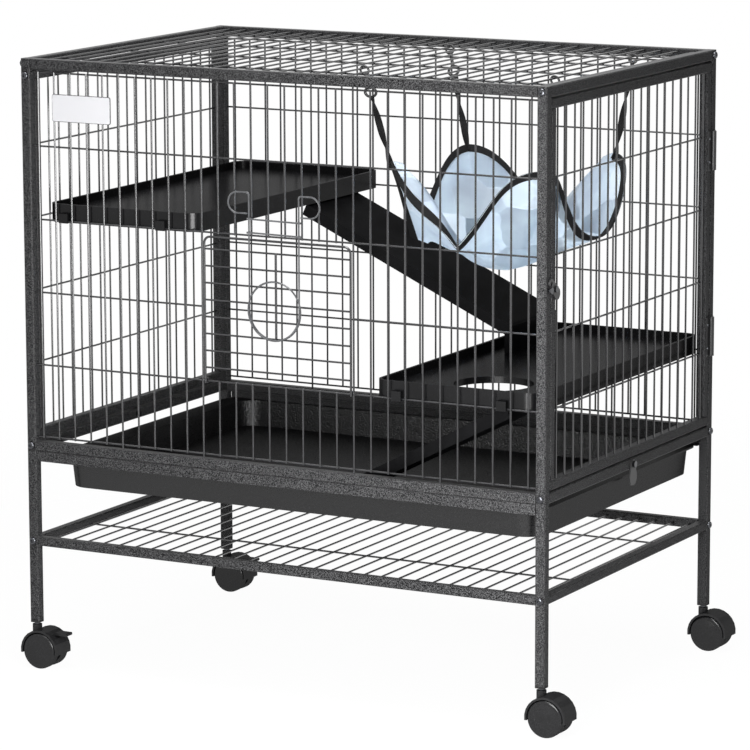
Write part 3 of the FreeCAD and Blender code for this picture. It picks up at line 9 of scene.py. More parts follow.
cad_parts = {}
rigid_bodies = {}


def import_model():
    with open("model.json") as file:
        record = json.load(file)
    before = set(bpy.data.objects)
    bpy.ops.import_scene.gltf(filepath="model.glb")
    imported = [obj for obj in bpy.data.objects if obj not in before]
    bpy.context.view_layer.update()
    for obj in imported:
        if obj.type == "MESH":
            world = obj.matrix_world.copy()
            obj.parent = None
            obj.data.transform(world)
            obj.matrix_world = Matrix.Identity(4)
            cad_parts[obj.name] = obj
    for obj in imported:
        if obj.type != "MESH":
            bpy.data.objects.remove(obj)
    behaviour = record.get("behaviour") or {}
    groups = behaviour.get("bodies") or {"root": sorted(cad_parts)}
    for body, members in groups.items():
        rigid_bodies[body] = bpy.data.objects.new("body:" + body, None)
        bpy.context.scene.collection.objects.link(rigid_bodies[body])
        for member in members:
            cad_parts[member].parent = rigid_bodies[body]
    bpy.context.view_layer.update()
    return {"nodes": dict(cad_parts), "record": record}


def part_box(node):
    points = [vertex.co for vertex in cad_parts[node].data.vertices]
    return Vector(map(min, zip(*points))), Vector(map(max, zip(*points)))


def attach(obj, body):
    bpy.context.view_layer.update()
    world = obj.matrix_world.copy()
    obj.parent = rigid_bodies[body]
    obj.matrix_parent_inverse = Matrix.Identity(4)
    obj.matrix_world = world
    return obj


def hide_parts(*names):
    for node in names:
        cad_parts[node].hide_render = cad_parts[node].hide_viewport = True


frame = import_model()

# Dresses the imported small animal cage: finishes for every piece, rounded caster wheels, domed
# bolts, the cloth hammock with its straps and snap hooks, a bare name plate, and a white studio.
# Lengths are in metres, in the frame's own axes: +Z is up, the front is -Y, the side door is +X.

bl_info = {
    "name": "Small Animal Cage",
    "version": (1, 0, 0),
    "blender": (4, 5, 0),
    "location": "3D View > Sidebar > Cage",
    "description": "Finishes, soft goods and studio for a small animal cage on casters",
    "category": "Object",
}

# One millimetre, in metres
MM = 0.001


def from_hex(code):
    """An sRGB hex colour as the linear values that shaders take."""
    parts = [int(code[at:at + 2], 16) / 255 for at in (1, 3, 5)]
    return tuple(part / 12.92 if part <= 0.04045 else ((part + 0.055) / 1.055) ** 2.4
                 for part in parts)


def opaque(colour):
    return (*colour, 1)


WHITE = opaque(from_hex("#ffffff"))


def colour_setting(name, description, code):
    return FloatVectorProperty(name=name, description=description, default=from_hex(code),
                               subtype="COLOR", min=0, max=1)


def length_setting(name, description, millimetres):
    return FloatProperty(name=name, description=description, default=millimetres * MM,
                         unit="LENGTH", precision=5)


class CageColours(bpy.types.PropertyGroup):
    """Colours of the finishes."""

    coat: colour_setting("Coat", "Dark ground of the powder coat on the tubes", "#0a0a0b")
    fleck: colour_setting("Fleck", "Light flecks of the powder coat on the tubes", "#5a5a5b")
    wire: colour_setting("Wire", "Coated mesh wire", "#18181a")
    spring: colour_setting("Spring", "Bare wire of the front door's latch", "#434446")
    platform: colour_setting("Platform", "Moulded platforms and ramps", "#0d0d0e")
    tray: colour_setting("Tray", "Moulded tray", "#0a0a0b")
    nylon: colour_setting("Nylon", "Caster hoods and wheels", "#171718")
    plate: colour_setting("Plate", "Hinges, lock tabs and the latch", "#1a1a1b")
    steel: colour_setting("Steel", "Plated bolts, pins and stems", "#505154")
    cloth: colour_setting("Cloth", "Satin of the hammock", "#e0ecf9")
    webbing: colour_setting("Webbing", "Straps, binding tape and snap hooks", "#0e0e0f")
    label: colour_setting("Name plate", "Bare name plate", "#cacacd")


class CageSizes(bpy.types.PropertyGroup):
    """Sizes of the pieces that are modelled here."""

    wheel_dome: length_setting("Wheel dome", "How far a wheel's cap stands out of its rim", 2.4)
    wheel_lip: length_setting("Wheel lip", "Width of the shallow step inside a wheel's rim", 0.6)
    wheel_round: length_setting("Wheel round", "Rounding of a wheel's rim", 3.2)
    bolt_head: length_setting("Bolt head", "Diameter of a bolt's head", 10.6)
    bolt_height: length_setting("Bolt height", "Height of a bolt's head", 3.4)
    bolt_drop: length_setting("Bolt drop", "How far the upper left bolts sit below the rail", 16)
    hinge_height: length_setting("Hinge height", "Height of a door hinge", 54)
    hinge_leaf: length_setting("Hinge leaf", "Thickness of a hinge's leaf", 1.5)
    rivet_head: length_setting("Rivet head", "Diameter of a hinge rivet's head", 4.4)
    rivet_height: length_setting("Rivet height", "Height of a hinge rivet's head", 1.2)
    binding: length_setting("Binding", "Width of the tape along the hammock's edge", 11)
    sling_sag: length_setting("Sling sag", "How far the cloth hangs below its CAD solid", 7)
    tip_reach: length_setting("Tip reach", "Level distance from the middle to a petal's tip", 160)
    valley_reach: length_setting("Valley reach", "Level distance to a valley between petals", 141)
    valley_rise: length_setting("Valley rise", "Height of a valley above the cloth's middle", 49)
    curl_reach: length_setting("Curl reach", "How far a curled edge leans out of the sling", 19)
    curl_drop: length_setting("Curl drop", "How far a curled edge drops below its fold", 26)
    right_lift: length_setting("Right lift", "How much higher the right valley hangs", 6)
    left_dip: length_setting("Left dip", "How much lower the left valley hangs", 13)
    cloth: length_setting("Cloth", "Thickness of the hammock's cloth", 0.8)
    tape: length_setting("Tape", "Thickness of the binding, folded over the cloth", 2.6)
    snap_ring: length_setting("Snap ring", "Radius of a snap hook's rings, to mid wire", 6)
    snap_wire: length_setting("Snap wire", "Thickness of a snap hook's rings", 3)
    snap_drop: length_setting("Snap drop", "From a snap hook's upper ring to its strap eye", 31)
    strap_width: length_setting("Strap width", "Width of the hammock's straps", 9)
    strap_thickness: length_setting("Strap thickness", "Thickness of the folded webbing", 2.6)
    mesh_pitch: length_setting("Mesh pitch", "Spacing of the roof wires", 25.4)
    plate_left: length_setting("Plate place", "Gap from the left post to the name plate", 35)
    plate_drop: length_setting("Plate drop", "Gap from the top rail to the name plate", 32)
    plate_width: length_setting("Plate width", "Width of the name plate", 92)
    plate_height: length_setting("Plate height", "Height of the name plate", 37)
    plate_thickness: length_setting("Plate thickness", "Thickness of the name plate", 1.2)
    cloth_rings: IntProperty(name="Cloth rings", description="Rings of faces from the middle of "
                             "the hammock to its edge", default=40, min=10)


def colours():
    return bpy.context.scene.cage_colours


def sizes():
    return bpy.context.scene.cage_sizes


# Materials
def add(tree, kind, settings=None, values=None, links=None):
    """Adds a node with its settings and socket values, and joins its inputs to other outputs."""
    made = tree.nodes.new(kind)
    for name, value in (settings or {}).items():
        setattr(made, name, value)
    for socket, value in (values or {}).items():
        made.inputs[socket].default_value = value
    for socket, output in (links or {}).items():
        tree.links.new(output, made.inputs[socket])
    return made


def start_material(name):
    """An empty material and its node tree."""
    material = bpy.data.materials.new(name)
    material.use_nodes = True
    material.node_tree.nodes.clear()
    return material, material.node_tree


def finish_material(tree, surface):
    add(tree, "ShaderNodeOutputMaterial", links={"Surface": surface})


def per_metre(millimetres):
    """The scale of a texture whose grains are this many millimetres across."""
    return 1 / (millimetres * MM)


# How sharply the low-angle shine of a dull skin comes in
LOW_ANGLE_POWER = 6


def dull_skin(tree, colour, gloss, roughness, normal, low_gloss=0):
    """A dull skin with a thin waxy shine, which grows only where the surface is seen at a very low
    angle. The colour, the roughness and the normal are other nodes' outputs."""
    dull = add(tree, "ShaderNodeBsdfDiffuse", links={"Color": colour, "Normal": normal})
    shine = add(tree, "ShaderNodeBsdfAnisotropic", values={"Color": WHITE},
                links={"Roughness": roughness, "Normal": normal})
    low = add(tree, "ShaderNodeMath", settings={"operation": "POWER"},
              values={1: LOW_ANGLE_POWER},
              links={0: add(tree, "ShaderNodeLayerWeight").outputs["Facing"]})
    share = add(tree, "ShaderNodeMath", settings={"operation": "MULTIPLY_ADD"},
                values={1: low_gloss, 2: gloss}, links={0: low.outputs[0]})
    both = add(tree, "ShaderNodeMixShader",
               links={0: share.outputs[0], 1: dull.outputs["BSDF"], 2: shine.outputs["BSDF"]})
    finish_material(tree, both.outputs["Shader"])


def hammertone_coat():
    """Hammertone powder coat baked on steel tube: a charcoal skin with small pale flecks and
    dimples, half matt, so that edges catch light and faces stay soft. The flecks are about 1 mm,
    and a face shines only where it is seen at a low angle."""
    material, tree = start_material("hammertone powder coat")
    place = add(tree, "ShaderNodeTexCoord").outputs["Object"]
    flecks = add(tree, "ShaderNodeTexNoise", values={"Scale": per_metre(1.05), "Detail": 1,
                 "Roughness": 0.5}, links={"Vector": place})
    ramp = add(tree, "ShaderNodeValToRGB", links={"Fac": flecks.outputs["Fac"]})
    ramp.color_ramp.elements[0].position = 0.4
    ramp.color_ramp.elements[0].color = opaque(colours().coat)
    ramp.color_ramp.elements[1].position = 0.72
    ramp.color_ramp.elements[1].color = opaque(colours().fleck)
    dimples = add(tree, "ShaderNodeBump", values={"Strength": 0.4, "Distance": 0.2 * MM},
                  links={"Height": flecks.outputs["Fac"]})
    blur = add(tree, "ShaderNodeMapRange", values={"To Min": 0.32, "To Max": 0.48},
               links={"Value": flecks.outputs["Fac"]})
    dull_skin(tree, ramp.outputs["Color"], gloss=0.006, roughness=blur.outputs["Result"],
              normal=dimples.outputs["Normal"], low_gloss=0.27)
    return material


def mottled(tree, grains, colour, spread):
    """A colour that wanders lighter and darker by this share with a texture."""
    ramp = add(tree, "ShaderNodeValToRGB", links={"Fac": grains})
    ramp.color_ramp.elements[0].position = 0.3
    ramp.color_ramp.elements[0].color = opaque(value * (1 - spread) for value in colour)
    ramp.color_ramp.elements[1].position = 0.7
    ramp.color_ramp.elements[1].color = opaque(min(value * (1 + spread), 1) for value in colour)
    return ramp.outputs["Color"]


def wire_coat(name, colour):
    """Thin glossy coat on drawn wire: dark, a little uneven along its length, and bright along
    both edges where it is seen at a low angle, so that each wire looks fine and round."""
    material, tree = start_material(name)
    place = add(tree, "ShaderNodeTexCoord").outputs["Object"]
    uneven = add(tree, "ShaderNodeTexNoise", values={"Scale": per_metre(9), "Detail": 2},
                 links={"Vector": place})
    coat = add(tree, "ShaderNodeBsdfPrincipled",
               values={"Roughness": 0.22, "Specular IOR Level": 0.9},
               links={"Base Color": mottled(tree, uneven.outputs["Fac"], colour, spread=0.3)})
    finish_material(tree, coat.outputs["BSDF"])
    return material


def moulded_platform(name, gloss, low_gloss):
    """Injection moulded polypropylene: black in slightly uneven patches, with a fine spark-eroded
    grain that blurs a satin shine. The grain is 1.5 mm, a little coarser than the real one."""
    material, tree = start_material(name)
    place = add(tree, "ShaderNodeTexCoord").outputs["Object"]
    grain = add(tree, "ShaderNodeTexNoise", values={"Scale": per_metre(1.5), "Detail": 2},
                links={"Vector": place})
    blur = add(tree, "ShaderNodeMapRange", values={"To Min": 0.16, "To Max": 0.32},
               links={"Value": grain.outputs["Fac"]})
    skin = add(tree, "ShaderNodeBump", values={"Strength": 0.25, "Distance": 0.1 * MM},
               links={"Height": grain.outputs["Fac"]})
    patches = add(tree, "ShaderNodeTexNoise", values={"Scale": per_metre(60), "Detail": 2},
                  links={"Vector": place})
    shade_of_black = mottled(tree, patches.outputs["Fac"], colours().platform, spread=0.35)
    dull_skin(tree, shade_of_black, gloss, roughness=blur.outputs["Result"],
              normal=skin.outputs["Normal"], low_gloss=low_gloss)
    return material


def pebbled_tray():
    """Vacuum formed polystyrene, smooth outside and pebbled inside: black, and bright points
    where a pebble turns to the light. Pebbles are about 1.5 mm, and are drawn at 2.2 mm so that
    they show. Inner faces are those that look towards the tray's middle."""
    material, tree = start_material("pebbled polystyrene")
    spot = add(tree, "ShaderNodeTexCoord")
    place = spot.outputs["Object"]
    outward = add(tree, "ShaderNodeVectorMath", settings={"operation": "SUBTRACT"},
                  values={1: middle("tray")}, links={0: place})
    looks_out = add(tree, "ShaderNodeVectorMath", settings={"operation": "DOT_PRODUCT"},
                    links={0: outward.outputs["Vector"], 1: spot.outputs["Normal"]})
    inside = add(tree, "ShaderNodeMath", settings={"operation": "LESS_THAN"}, values={1: 0},
                 links={0: looks_out.outputs["Value"]})
    pebbles = add(tree, "ShaderNodeTexVoronoi", settings={"feature": "SMOOTH_F1"},
                  values={"Scale": per_metre(2.2), "Smoothness": 0.5}, links={"Vector": place})
    skin = add(tree, "ShaderNodeBump", settings={"invert": True},
               values={"Distance": 0.8 * MM},
               links={"Height": pebbles.outputs["Distance"], "Strength": inside.outputs[0]})
    blur = add(tree, "ShaderNodeMapRange", values={"To Min": 0.22, "To Max": 0.4},
               links={"Value": pebbles.outputs["Distance"]})
    shade_of_black = mottled(tree, pebbles.outputs["Distance"], colours().tray, spread=0.2)
    dull_skin(tree, shade_of_black, gloss=0.044, roughness=blur.outputs["Result"],
              normal=skin.outputs["Normal"])
    return material


def plated_steel():
    """Dark plate on turned steel: a clear metal shine with a faint grain."""
    material, tree = start_material("black nickel plate")
    place = add(tree, "ShaderNodeTexCoord").outputs["Object"]
    grain = add(tree, "ShaderNodeTexNoise", values={"Scale": per_metre(1)},
                links={"Vector": place})
    shine = add(tree, "ShaderNodeMapRange", values={"To Min": 0.14, "To Max": 0.28},
                links={"Value": grain.outputs["Fac"]})
    metal = add(tree, "ShaderNodeBsdfPrincipled",
                values={"Base Color": opaque(colours().steel), "Metallic": 1},
                links={"Roughness": shine.outputs["Result"]})
    finish_material(tree, metal.outputs["BSDF"])
    return material


def coated_plate(name):
    """Black powder coat on pressed steel: nearly flat, a low sheen and a slight orange peel."""
    material, tree = start_material(name)
    place = add(tree, "ShaderNodeTexCoord").outputs["Object"]
    peel = add(tree, "ShaderNodeTexNoise", values={"Scale": per_metre(2)}, links={"Vector": place})
    skin = add(tree, "ShaderNodeBump", values={"Strength": 0.3, "Distance": 0.08 * MM},
               links={"Height": peel.outputs["Fac"]})
    coat = add(tree, "ShaderNodeBsdfPrincipled",
               values={"Base Color": opaque(colours().plate), "Roughness": 0.42},
               links={"Normal": skin.outputs["Normal"]})
    finish_material(tree, coat.outputs["BSDF"])
    return material


def moulded_nylon(name, shine):
    """Moulded nylon: black with a soft bloom in its shine, and satin where its mould was
    polished."""
    material, tree = start_material(name)
    place = add(tree, "ShaderNodeTexCoord").outputs["Object"]
    bloom = add(tree, "ShaderNodeTexNoise", values={"Scale": per_metre(6), "Detail": 4},
                links={"Vector": place})
    blur = add(tree, "ShaderNodeMapRange", values={"To Min": shine, "To Max": shine + 0.14},
               links={"Value": bloom.outputs["Fac"]})
    skin = add(tree, "ShaderNodeBump", values={"Strength": 0.1, "Distance": 0.1 * MM},
               links={"Height": bloom.outputs["Fac"]})
    shade_of_black = mottled(tree, bloom.outputs["Fac"], colours().nylon, spread=0.15)
    dull_skin(tree, shade_of_black, gloss=0.028, roughness=blur.outputs["Result"],
              normal=skin.outputs["Normal"])
    return material


# The hammock's flat cut: a square with slightly hollow sides
CUT_SIDE = 0.335

# How crooked the creases between the cloth's facets are, and how steeply the facets tilt
FACET_CROOK = 12 * MM
FACET_TILT = 1.6


def satin_cloth():
    """Woven polyester satin: pale blue with a silky shine, broken by creases into flat facets
    some centimetres across. It is thin, so some light comes through it. Threads are about 0.4 mm,
    and are drawn at 1.4 mm so that they show close up."""
    material, tree = start_material("polyester satin")
    cut = add(tree, "ShaderNodeTexCoord").outputs["UV"]
    place = add(tree, "ShaderNodeTexCoord").outputs["Object"]
    shades = add(tree, "ShaderNodeTexNoise", values={"Scale": per_metre(45), "Detail": 3,
                 "Roughness": 0.45, "Distortion": 0.8}, links={"Vector": place})
    tone = mottled(tree, shades.outputs["Fac"], colours().cloth, spread=0.1)
    threads = CUT_SIDE / (1.4 * MM)
    weave = add(tree, "ShaderNodeTexWave", settings={"bands_direction": "DIAGONAL"},
                values={"Scale": threads / math.tau, "Distortion": 0}, links={"Vector": cut})
    bent = add(tree, "ShaderNodeVectorMath", settings={"operation": "MULTIPLY_ADD"},
               values={1: [FACET_CROOK] * 3}, links={0: shades.outputs["Color"], 2: place})
    facets = add(tree, "ShaderNodeTexVoronoi", settings={"feature": "SMOOTH_F1"},
                 values={"Scale": per_metre(56), "Smoothness": 0.1},
                 links={"Vector": bent.outputs["Vector"]})
    tilt = add(tree, "ShaderNodeVectorMath", settings={"operation": "SUBTRACT"},
               values={1: (0.5, 0.5, 0.5)}, links={0: facets.outputs["Color"]})
    turned = add(tree, "ShaderNodeVectorMath", settings={"operation": "MULTIPLY_ADD"},
                 values={1: [FACET_TILT] * 3},
                 links={0: tilt.outputs["Vector"],
                        2: add(tree, "ShaderNodeNewGeometry").outputs["Normal"]})
    fold = add(tree, "ShaderNodeVectorMath", settings={"operation": "NORMALIZE"},
               links={0: turned.outputs["Vector"]})
    thread = add(tree, "ShaderNodeBump", values={"Strength": 0.1, "Distance": 0.1 * MM},
                 links={"Height": weave.outputs["Fac"], "Normal": fold.outputs["Vector"]})
    cloth = add(tree, "ShaderNodeBsdfPrincipled", values={"Roughness": 0.3, "Sheen Weight": 0.1},
                links={"Base Color": tone, "Normal": thread.outputs["Normal"]})
    through = add(tree, "ShaderNodeBsdfTranslucent",
                  links={"Color": tone, "Normal": fold.outputs["Vector"]})
    thin = add(tree, "ShaderNodeMixShader", values={0: 0.5},
               links={1: cloth.outputs["BSDF"], 2: through.outputs["BSDF"]})
    finish_material(tree, thin.outputs["Shader"])
    return material


def woven_webbing():
    """Flat woven polypropylene webbing: black and matt, ribbed across about every 1.5 mm."""
    material, tree = start_material("woven webbing")
    place = add(tree, "ShaderNodeTexCoord").outputs["Object"]
    ribs = add(tree, "ShaderNodeTexWave", settings={"bands_direction": "Z"},
               values={"Scale": per_metre(1.5) / math.tau}, links={"Vector": place})
    skin = add(tree, "ShaderNodeBump", values={"Strength": 0.5, "Distance": 0.3 * MM},
               links={"Height": ribs.outputs["Fac"]})
    web = add(tree, "ShaderNodeBsdfPrincipled",
              values={"Base Color": opaque(colours().webbing), "Roughness": 0.8,
                      "Specular IOR Level": 0.2},
              links={"Normal": skin.outputs["Normal"]})
    finish_material(tree, web.outputs["BSDF"])
    return material


def plate_board():
    """Rigid white PVC board: clean white with a slight satin unevenness."""
    material, tree = start_material("white pvc board")
    place = add(tree, "ShaderNodeTexCoord").outputs["Object"]
    uneven = add(tree, "ShaderNodeTexNoise", values={"Scale": per_metre(12)},
                 links={"Vector": place})
    shine = add(tree, "ShaderNodeMapRange", values={"To Min": 0.4, "To Max": 0.5},
                links={"Value": uneven.outputs["Fac"]})
    board = add(tree, "ShaderNodeBsdfPrincipled", values={"Base Color": opaque(colours().label)},
                links={"Roughness": shine.outputs["Result"]})
    finish_material(tree, board.outputs["BSDF"])
    return material


# The finished materials, by slot
finishes = {}


def make_finishes():
    """One material for each slot of the record, and one each for the ramps and the name plate."""
    coat, plate = hammertone_coat(), coated_plate("coated pressed steel")
    nylon = moulded_nylon("moulded nylon", shine=0.3)
    finishes.update({
        "frame_tube": coat, "mesh_wire": wire_coat("coated drawn wire", colours().wire),
        "latch_wire": wire_coat("bright spring wire", colours().spring),
        "platform_plastic": moulded_platform("moulded polypropylene", gloss=0.02, low_gloss=0.1),
        "ramp_plastic": moulded_platform("matt polypropylene", gloss=0.006, low_gloss=0.02),
        "tray_plastic": pebbled_tray(),
        "bolt_steel": plated_steel(), "lock_plate": plate, "hinge_steel": plate,
        "caster_nylon": nylon, "caster_tread": moulded_nylon("polished nylon", shine=0.12),
        "hammock_fabric": satin_cloth(), "webbing": woven_webbing(),
        "hook_plastic": coated_plate("black enamelled snap hook"), "plug_plastic": nylon,
        "name_plate": plate_board(),
    })


# Modelling

# A face looks along an axis if its normal has this much of it. The flat middle of a cap looks
# along it more squarely, and has more sides than this.
FACING = 0.9
CAP_FACING = 0.999
CAP_SIDES = 8

# Sides of the round pieces
WHEEL_SIDES = 64
BOLT_SIDES = 24
RIVET_SIDES = 20
BARREL_SIDES = 20
RING_SIDES = 32
RING_WIRE_SIDES = 10


def deselect():
    """Goes to object mode with nothing selected."""
    if bpy.context.mode != "OBJECT":
        bpy.ops.object.mode_set(mode="OBJECT")
    bpy.ops.object.select_all(action="DESELECT")


def take(obj):
    """Selects one object and makes it the active one."""
    deselect()
    obj.select_set(True)
    bpy.context.view_layer.objects.active = obj


def settle():
    """Puts the active object's place, turn and scale into its mesh, and returns it."""
    bpy.ops.object.transform_apply(location=True, rotation=True, scale=True)
    return bpy.context.active_object


def edit(obj, kind, wanted):
    """Opens the mesh with only the wanted faces or edges selected. The kind is FACE or EDGE."""
    take(obj)
    bpy.ops.object.mode_set(mode="EDIT")
    bpy.ops.mesh.select_mode(type=kind)
    bpy.ops.mesh.select_all(action="DESELECT")
    mesh = bmesh.from_edit_mesh(obj.data)
    chosen = [part for part in (mesh.faces if kind == "FACE" else mesh.edges) if wanted(part)]
    if not chosen:
        raise RuntimeError(f"{obj.name} has no such {kind.lower()}")
    for part in chosen:
        part.select_set(True)
    bmesh.update_edit_mesh(obj.data)


def apply_modifier(obj, kind, **settings):
    """Adds a modifier with its settings and applies it."""
    take(obj)
    modifier = obj.modifiers.new(kind, kind)
    for name, value in settings.items():
        setattr(modifier, name, value)
    bpy.ops.object.modifier_apply(modifier=modifier.name)


def shade(obj, degrees=50):
    """Smooths the shading, and keeps edges sharper than this."""
    take(obj)
    bpy.ops.object.shade_smooth_by_angle(angle=math.radians(degrees))


def copy_to(obj, name, matrix):
    """A copy with its own mesh, moved by a matrix."""
    copy = bpy.data.objects.new(name, obj.data.copy())
    bpy.context.collection.objects.link(copy)
    copy.data.transform(matrix)
    return copy


def join(objects, name):
    """Makes one object of several."""
    deselect()
    for obj in objects:
        obj.select_set(True)
    bpy.context.view_layer.objects.active = objects[0]
    bpy.ops.object.join()
    objects[0].name = name
    return objects[0]


def fit(obj, slot, body, *replaced):
    """Gives a finished piece its material and its body, and hides the CAD nodes it stands for."""
    obj.data.materials.clear()
    obj.data.materials.append(finishes[slot])
    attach(obj, body)
    # The record has no slot for the name plate
    if replaced:
        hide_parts(*replaced)
    return obj


def middle(node):
    lo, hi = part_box(node)
    return (lo + hi) / 2


class CAGE_OT_finishes(bpy.types.Operator):
    """Give every CAD piece the finish of its slot, and the ramps a duller one"""

    bl_idname = "cage.finishes"
    bl_label = "Finishes"

    def execute(self, context):
        make_finishes()
        for piece in frame["record"]["subparts"]:
            obj = frame["nodes"][piece["node"]]
            obj.data.materials.clear()
            is_ramp = piece["node"].endswith("_ramp")
            slot = "ramp_plastic" if is_ramp else piece["material_slot"]
            obj.data.materials.append(finishes[slot])
        return {"FINISHED"}


# Casters

# Rings of faces in a wheel's dome
DOME_RINGS = 8


def shape_wheel(radius, width):
    """One wheel about the origin with its cap towards -Y: a rounded rim and a smooth low dome."""
    dome = sizes().wheel_dome
    deselect()
    bpy.ops.mesh.primitive_cylinder_add(vertices=WHEEL_SIDES, radius=radius, depth=width - dome,
                                        location=(0, dome / 2, 0), rotation=(math.pi / 2, 0, 0))
    wheel = settle()
    edit(wheel, "FACE", lambda face: abs(face.normal.y) > FACING)
    bpy.ops.mesh.bevel(offset=sizes().wheel_round, segments=4, affect="EDGES")
    edit(wheel, "FACE", lambda face: face.normal.y < -CAP_FACING and len(face.verts) > CAP_SIDES)
    bpy.ops.mesh.inset(thickness=sizes().wheel_lip, depth=-sizes().wheel_lip / 2)
    flat = radius - sizes().wheel_round - sizes().wheel_lip
    for ring in range(DOME_RINGS):
        rise = dome * (2 * (DOME_RINGS - ring) - 1) / DOME_RINGS ** 2
        bpy.ops.mesh.inset(thickness=flat / (DOME_RINGS + 1), depth=rise)
    shade(wheel)
    return wheel


class CAGE_OT_wheels(bpy.types.Operator):
    """Model one caster wheel and copy it to every caster"""

    bl_idname = "cage.wheels"
    bl_label = "Caster wheels"

    def execute(self, context):
        lo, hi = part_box("caster_front_left_wheel_front")
        pattern = shape_wheel((hi.z - lo.z) / 2, hi.y - lo.y)
        for end in ("front", "rear"):
            for hand in ("left", "right"):
                for side in ("front", "rear"):
                    node = f"caster_{end}_{hand}_wheel_{side}"
                    turn = Matrix.Rotation(math.pi if side == "rear" else 0, 4, "Z")
                    place = Matrix.Translation(middle(node)) @ turn
                    wheel = copy_to(pattern, f"wheel_{end}_{hand}_{side}", place)
                    fit(wheel, "caster_tread", f"wheel_{end}_{hand}_{side}", node)
        bpy.data.objects.remove(pattern)
        return {"FINISHED"}


# Bolts and rivets

# How much of a head's height is rounded, and the rim and chamfer of a bolt's key hole
BOLT_ROUND = 0.85
RIVET_ROUND = 0.9
KEY_RIM = 0.5 * MM
KEY_CHAMFER = 0.1 * MM

# How far a hinge leaf's two rivets sit from its middle, as a share of half its height
RIVET_SPREAD = 0.6


def shape_bolt():
    """One button-head bolt about the origin, its head towards +Z, with a round key hole."""
    height = sizes().bolt_height
    deselect()
    bpy.ops.mesh.primitive_cylinder_add(vertices=BOLT_SIDES, radius=sizes().bolt_head / 2,
                                        depth=height, location=(0, 0, height / 2))
    bolt = settle()
    edit(bolt, "FACE", lambda face: face.normal.z > FACING)
    bpy.ops.mesh.bevel(offset=height * BOLT_ROUND, segments=5, affect="EDGES")
    edit(bolt, "FACE", lambda face: face.normal.z > CAP_FACING and len(face.verts) > CAP_SIDES)
    bpy.ops.mesh.inset(thickness=KEY_RIM, depth=0)
    bpy.ops.mesh.inset(thickness=KEY_CHAMFER, depth=-height / 2)
    shade(bolt)
    return bolt


def bolt_places():
    """Where each bolt's head starts and which way it faces: forward on the front posts, outward on
    the rear posts. The upper ones on the left sit below the rail, and one closes the corner."""
    lo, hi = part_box("front_panel_frame")
    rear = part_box("rear_panel_frame")[1].y
    tube = hi.y - lo.y
    levels = {"top": hi.z - tube / 2, "bottom": middle("left_bottom_rail").z,
              "shelf": middle("shelf_frame").z}
    for level, z in levels.items():
        for edge, way in ((lo.x, -1), (hi.x, 1)):
            drop = sizes().bolt_drop if level == "top" and way < 0 else 0
            yield Vector((edge - way * tube / 2, lo.y, z - drop)), Vector((0, -1, 0))
            yield Vector((edge, rear - tube / 2, z - drop)), Vector((way, 0, 0))
    yield Vector((lo.x, lo.y + tube / 2, levels["top"])), Vector((-1, 0, 0))


class CAGE_OT_bolts(bpy.types.Operator):
    """Model one dome-head bolt and copy it to every joint of the frame"""

    bl_idname = "cage.bolts"
    bl_label = "Frame bolts"

    def execute(self, context):
        pattern = shape_bolt()
        copies = []
        for place, way in bolt_places():
            turn = way.to_track_quat("Z", "Y").to_matrix().to_4x4()
            copies.append(copy_to(pattern, "bolt", Matrix.Translation(place) @ turn))
        bpy.data.objects.remove(pattern)
        fit(join(copies, "bolt_heads"), "bolt_steel", "cage", "frame_bolts")
        return {"FINISHED"}


def shape_rivet():
    """One low rivet head about the origin, towards +X."""
    height = sizes().rivet_height
    deselect()
    bpy.ops.mesh.primitive_cylinder_add(vertices=RIVET_SIDES, radius=sizes().rivet_head / 2,
                                        depth=height, location=(height / 2, 0, 0),
                                        rotation=(0, math.pi / 2, 0))
    rivet = settle()
    edit(rivet, "FACE", lambda face: face.normal.x > FACING)
    bpy.ops.mesh.bevel(offset=height * RIVET_ROUND, segments=4, affect="EDGES")
    shade(rivet)
    return rivet


class CAGE_OT_hinge_rivets(bpy.types.Operator):
    """Model one rivet head and copy it to both leaves of both door hinges"""

    bl_idname = "cage.hinge_rivets"
    bl_label = "Hinge rivets"

    def execute(self, context):
        pattern = shape_rivet()
        for leaf, body, way in (("post", "cage", 1), ("door", "side_door", -1)):
            lo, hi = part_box(f"hinge_leaves_{leaf}")
            barrel = hi.x - lo.x
            across = (lo.y + hi.y + way * barrel) / 2
            half = sizes().hinge_height / 2
            copies = []
            for centre in (lo.z + half, hi.z - half):
                for side in (-1, 1):
                    level = centre + side * half * RIVET_SPREAD
                    place = Vector((lo.x + sizes().hinge_leaf, across, level))
                    copies.append(copy_to(pattern, "rivet", Matrix.Translation(place)))
            fit(join(copies, f"hinge_rivets_{leaf}"), "bolt_steel", body)
        bpy.data.objects.remove(pattern)
        return {"FINISHED"}


# Hammock

# Rings of faces under the binding tape, rings at the edge that keep their shape when the cloth is
# smoothed, and how often it is smoothed
BINDING_RINGS = 2
KEPT_RINGS = 6
SMOOTH_ROUNDS = 14

# How far the edge of each half petal swings out, in millimetres, counted round from the door side
EDGE_SWINGS = (9, -4, -13, -13, -9, -7, -28, -28)

# The half petals whose edge has curled over outward, with how many millimetres higher their fold
# stands, the share of the cloth that is in a curl, and how much more of the tape shows there
CURLED_HALVES = {1: 0, 5: 14}
CURL_SHARE = 0.22
CURL_TAPE = 0.3

# Powers that shape the edge from a valley to a tip, outward and upward, and that keep a lifted or
# dipped valley to its own side
REACH_POWER = 1.5
RISE_POWER = 1.1
SIDE_POWER = 8

# How the cloth bends up on its way out: in line with a valley, and how much more towards a tip
VALLEY_BEND = 1.08
TIP_BEND = 0.95

# Depth of the folds, how narrow the one down each petal is, and how strong the waves across it are
FOLD_DEPTH = 8 * MM
FOLD_POWER = 0.6
WAVE_SHARE = 0.4

# The waves: each train's strength, how it runs round the sling and out along it, and its start
WAVES = ((1, 5, 9, 0), (0.7, 9, -7, 2))


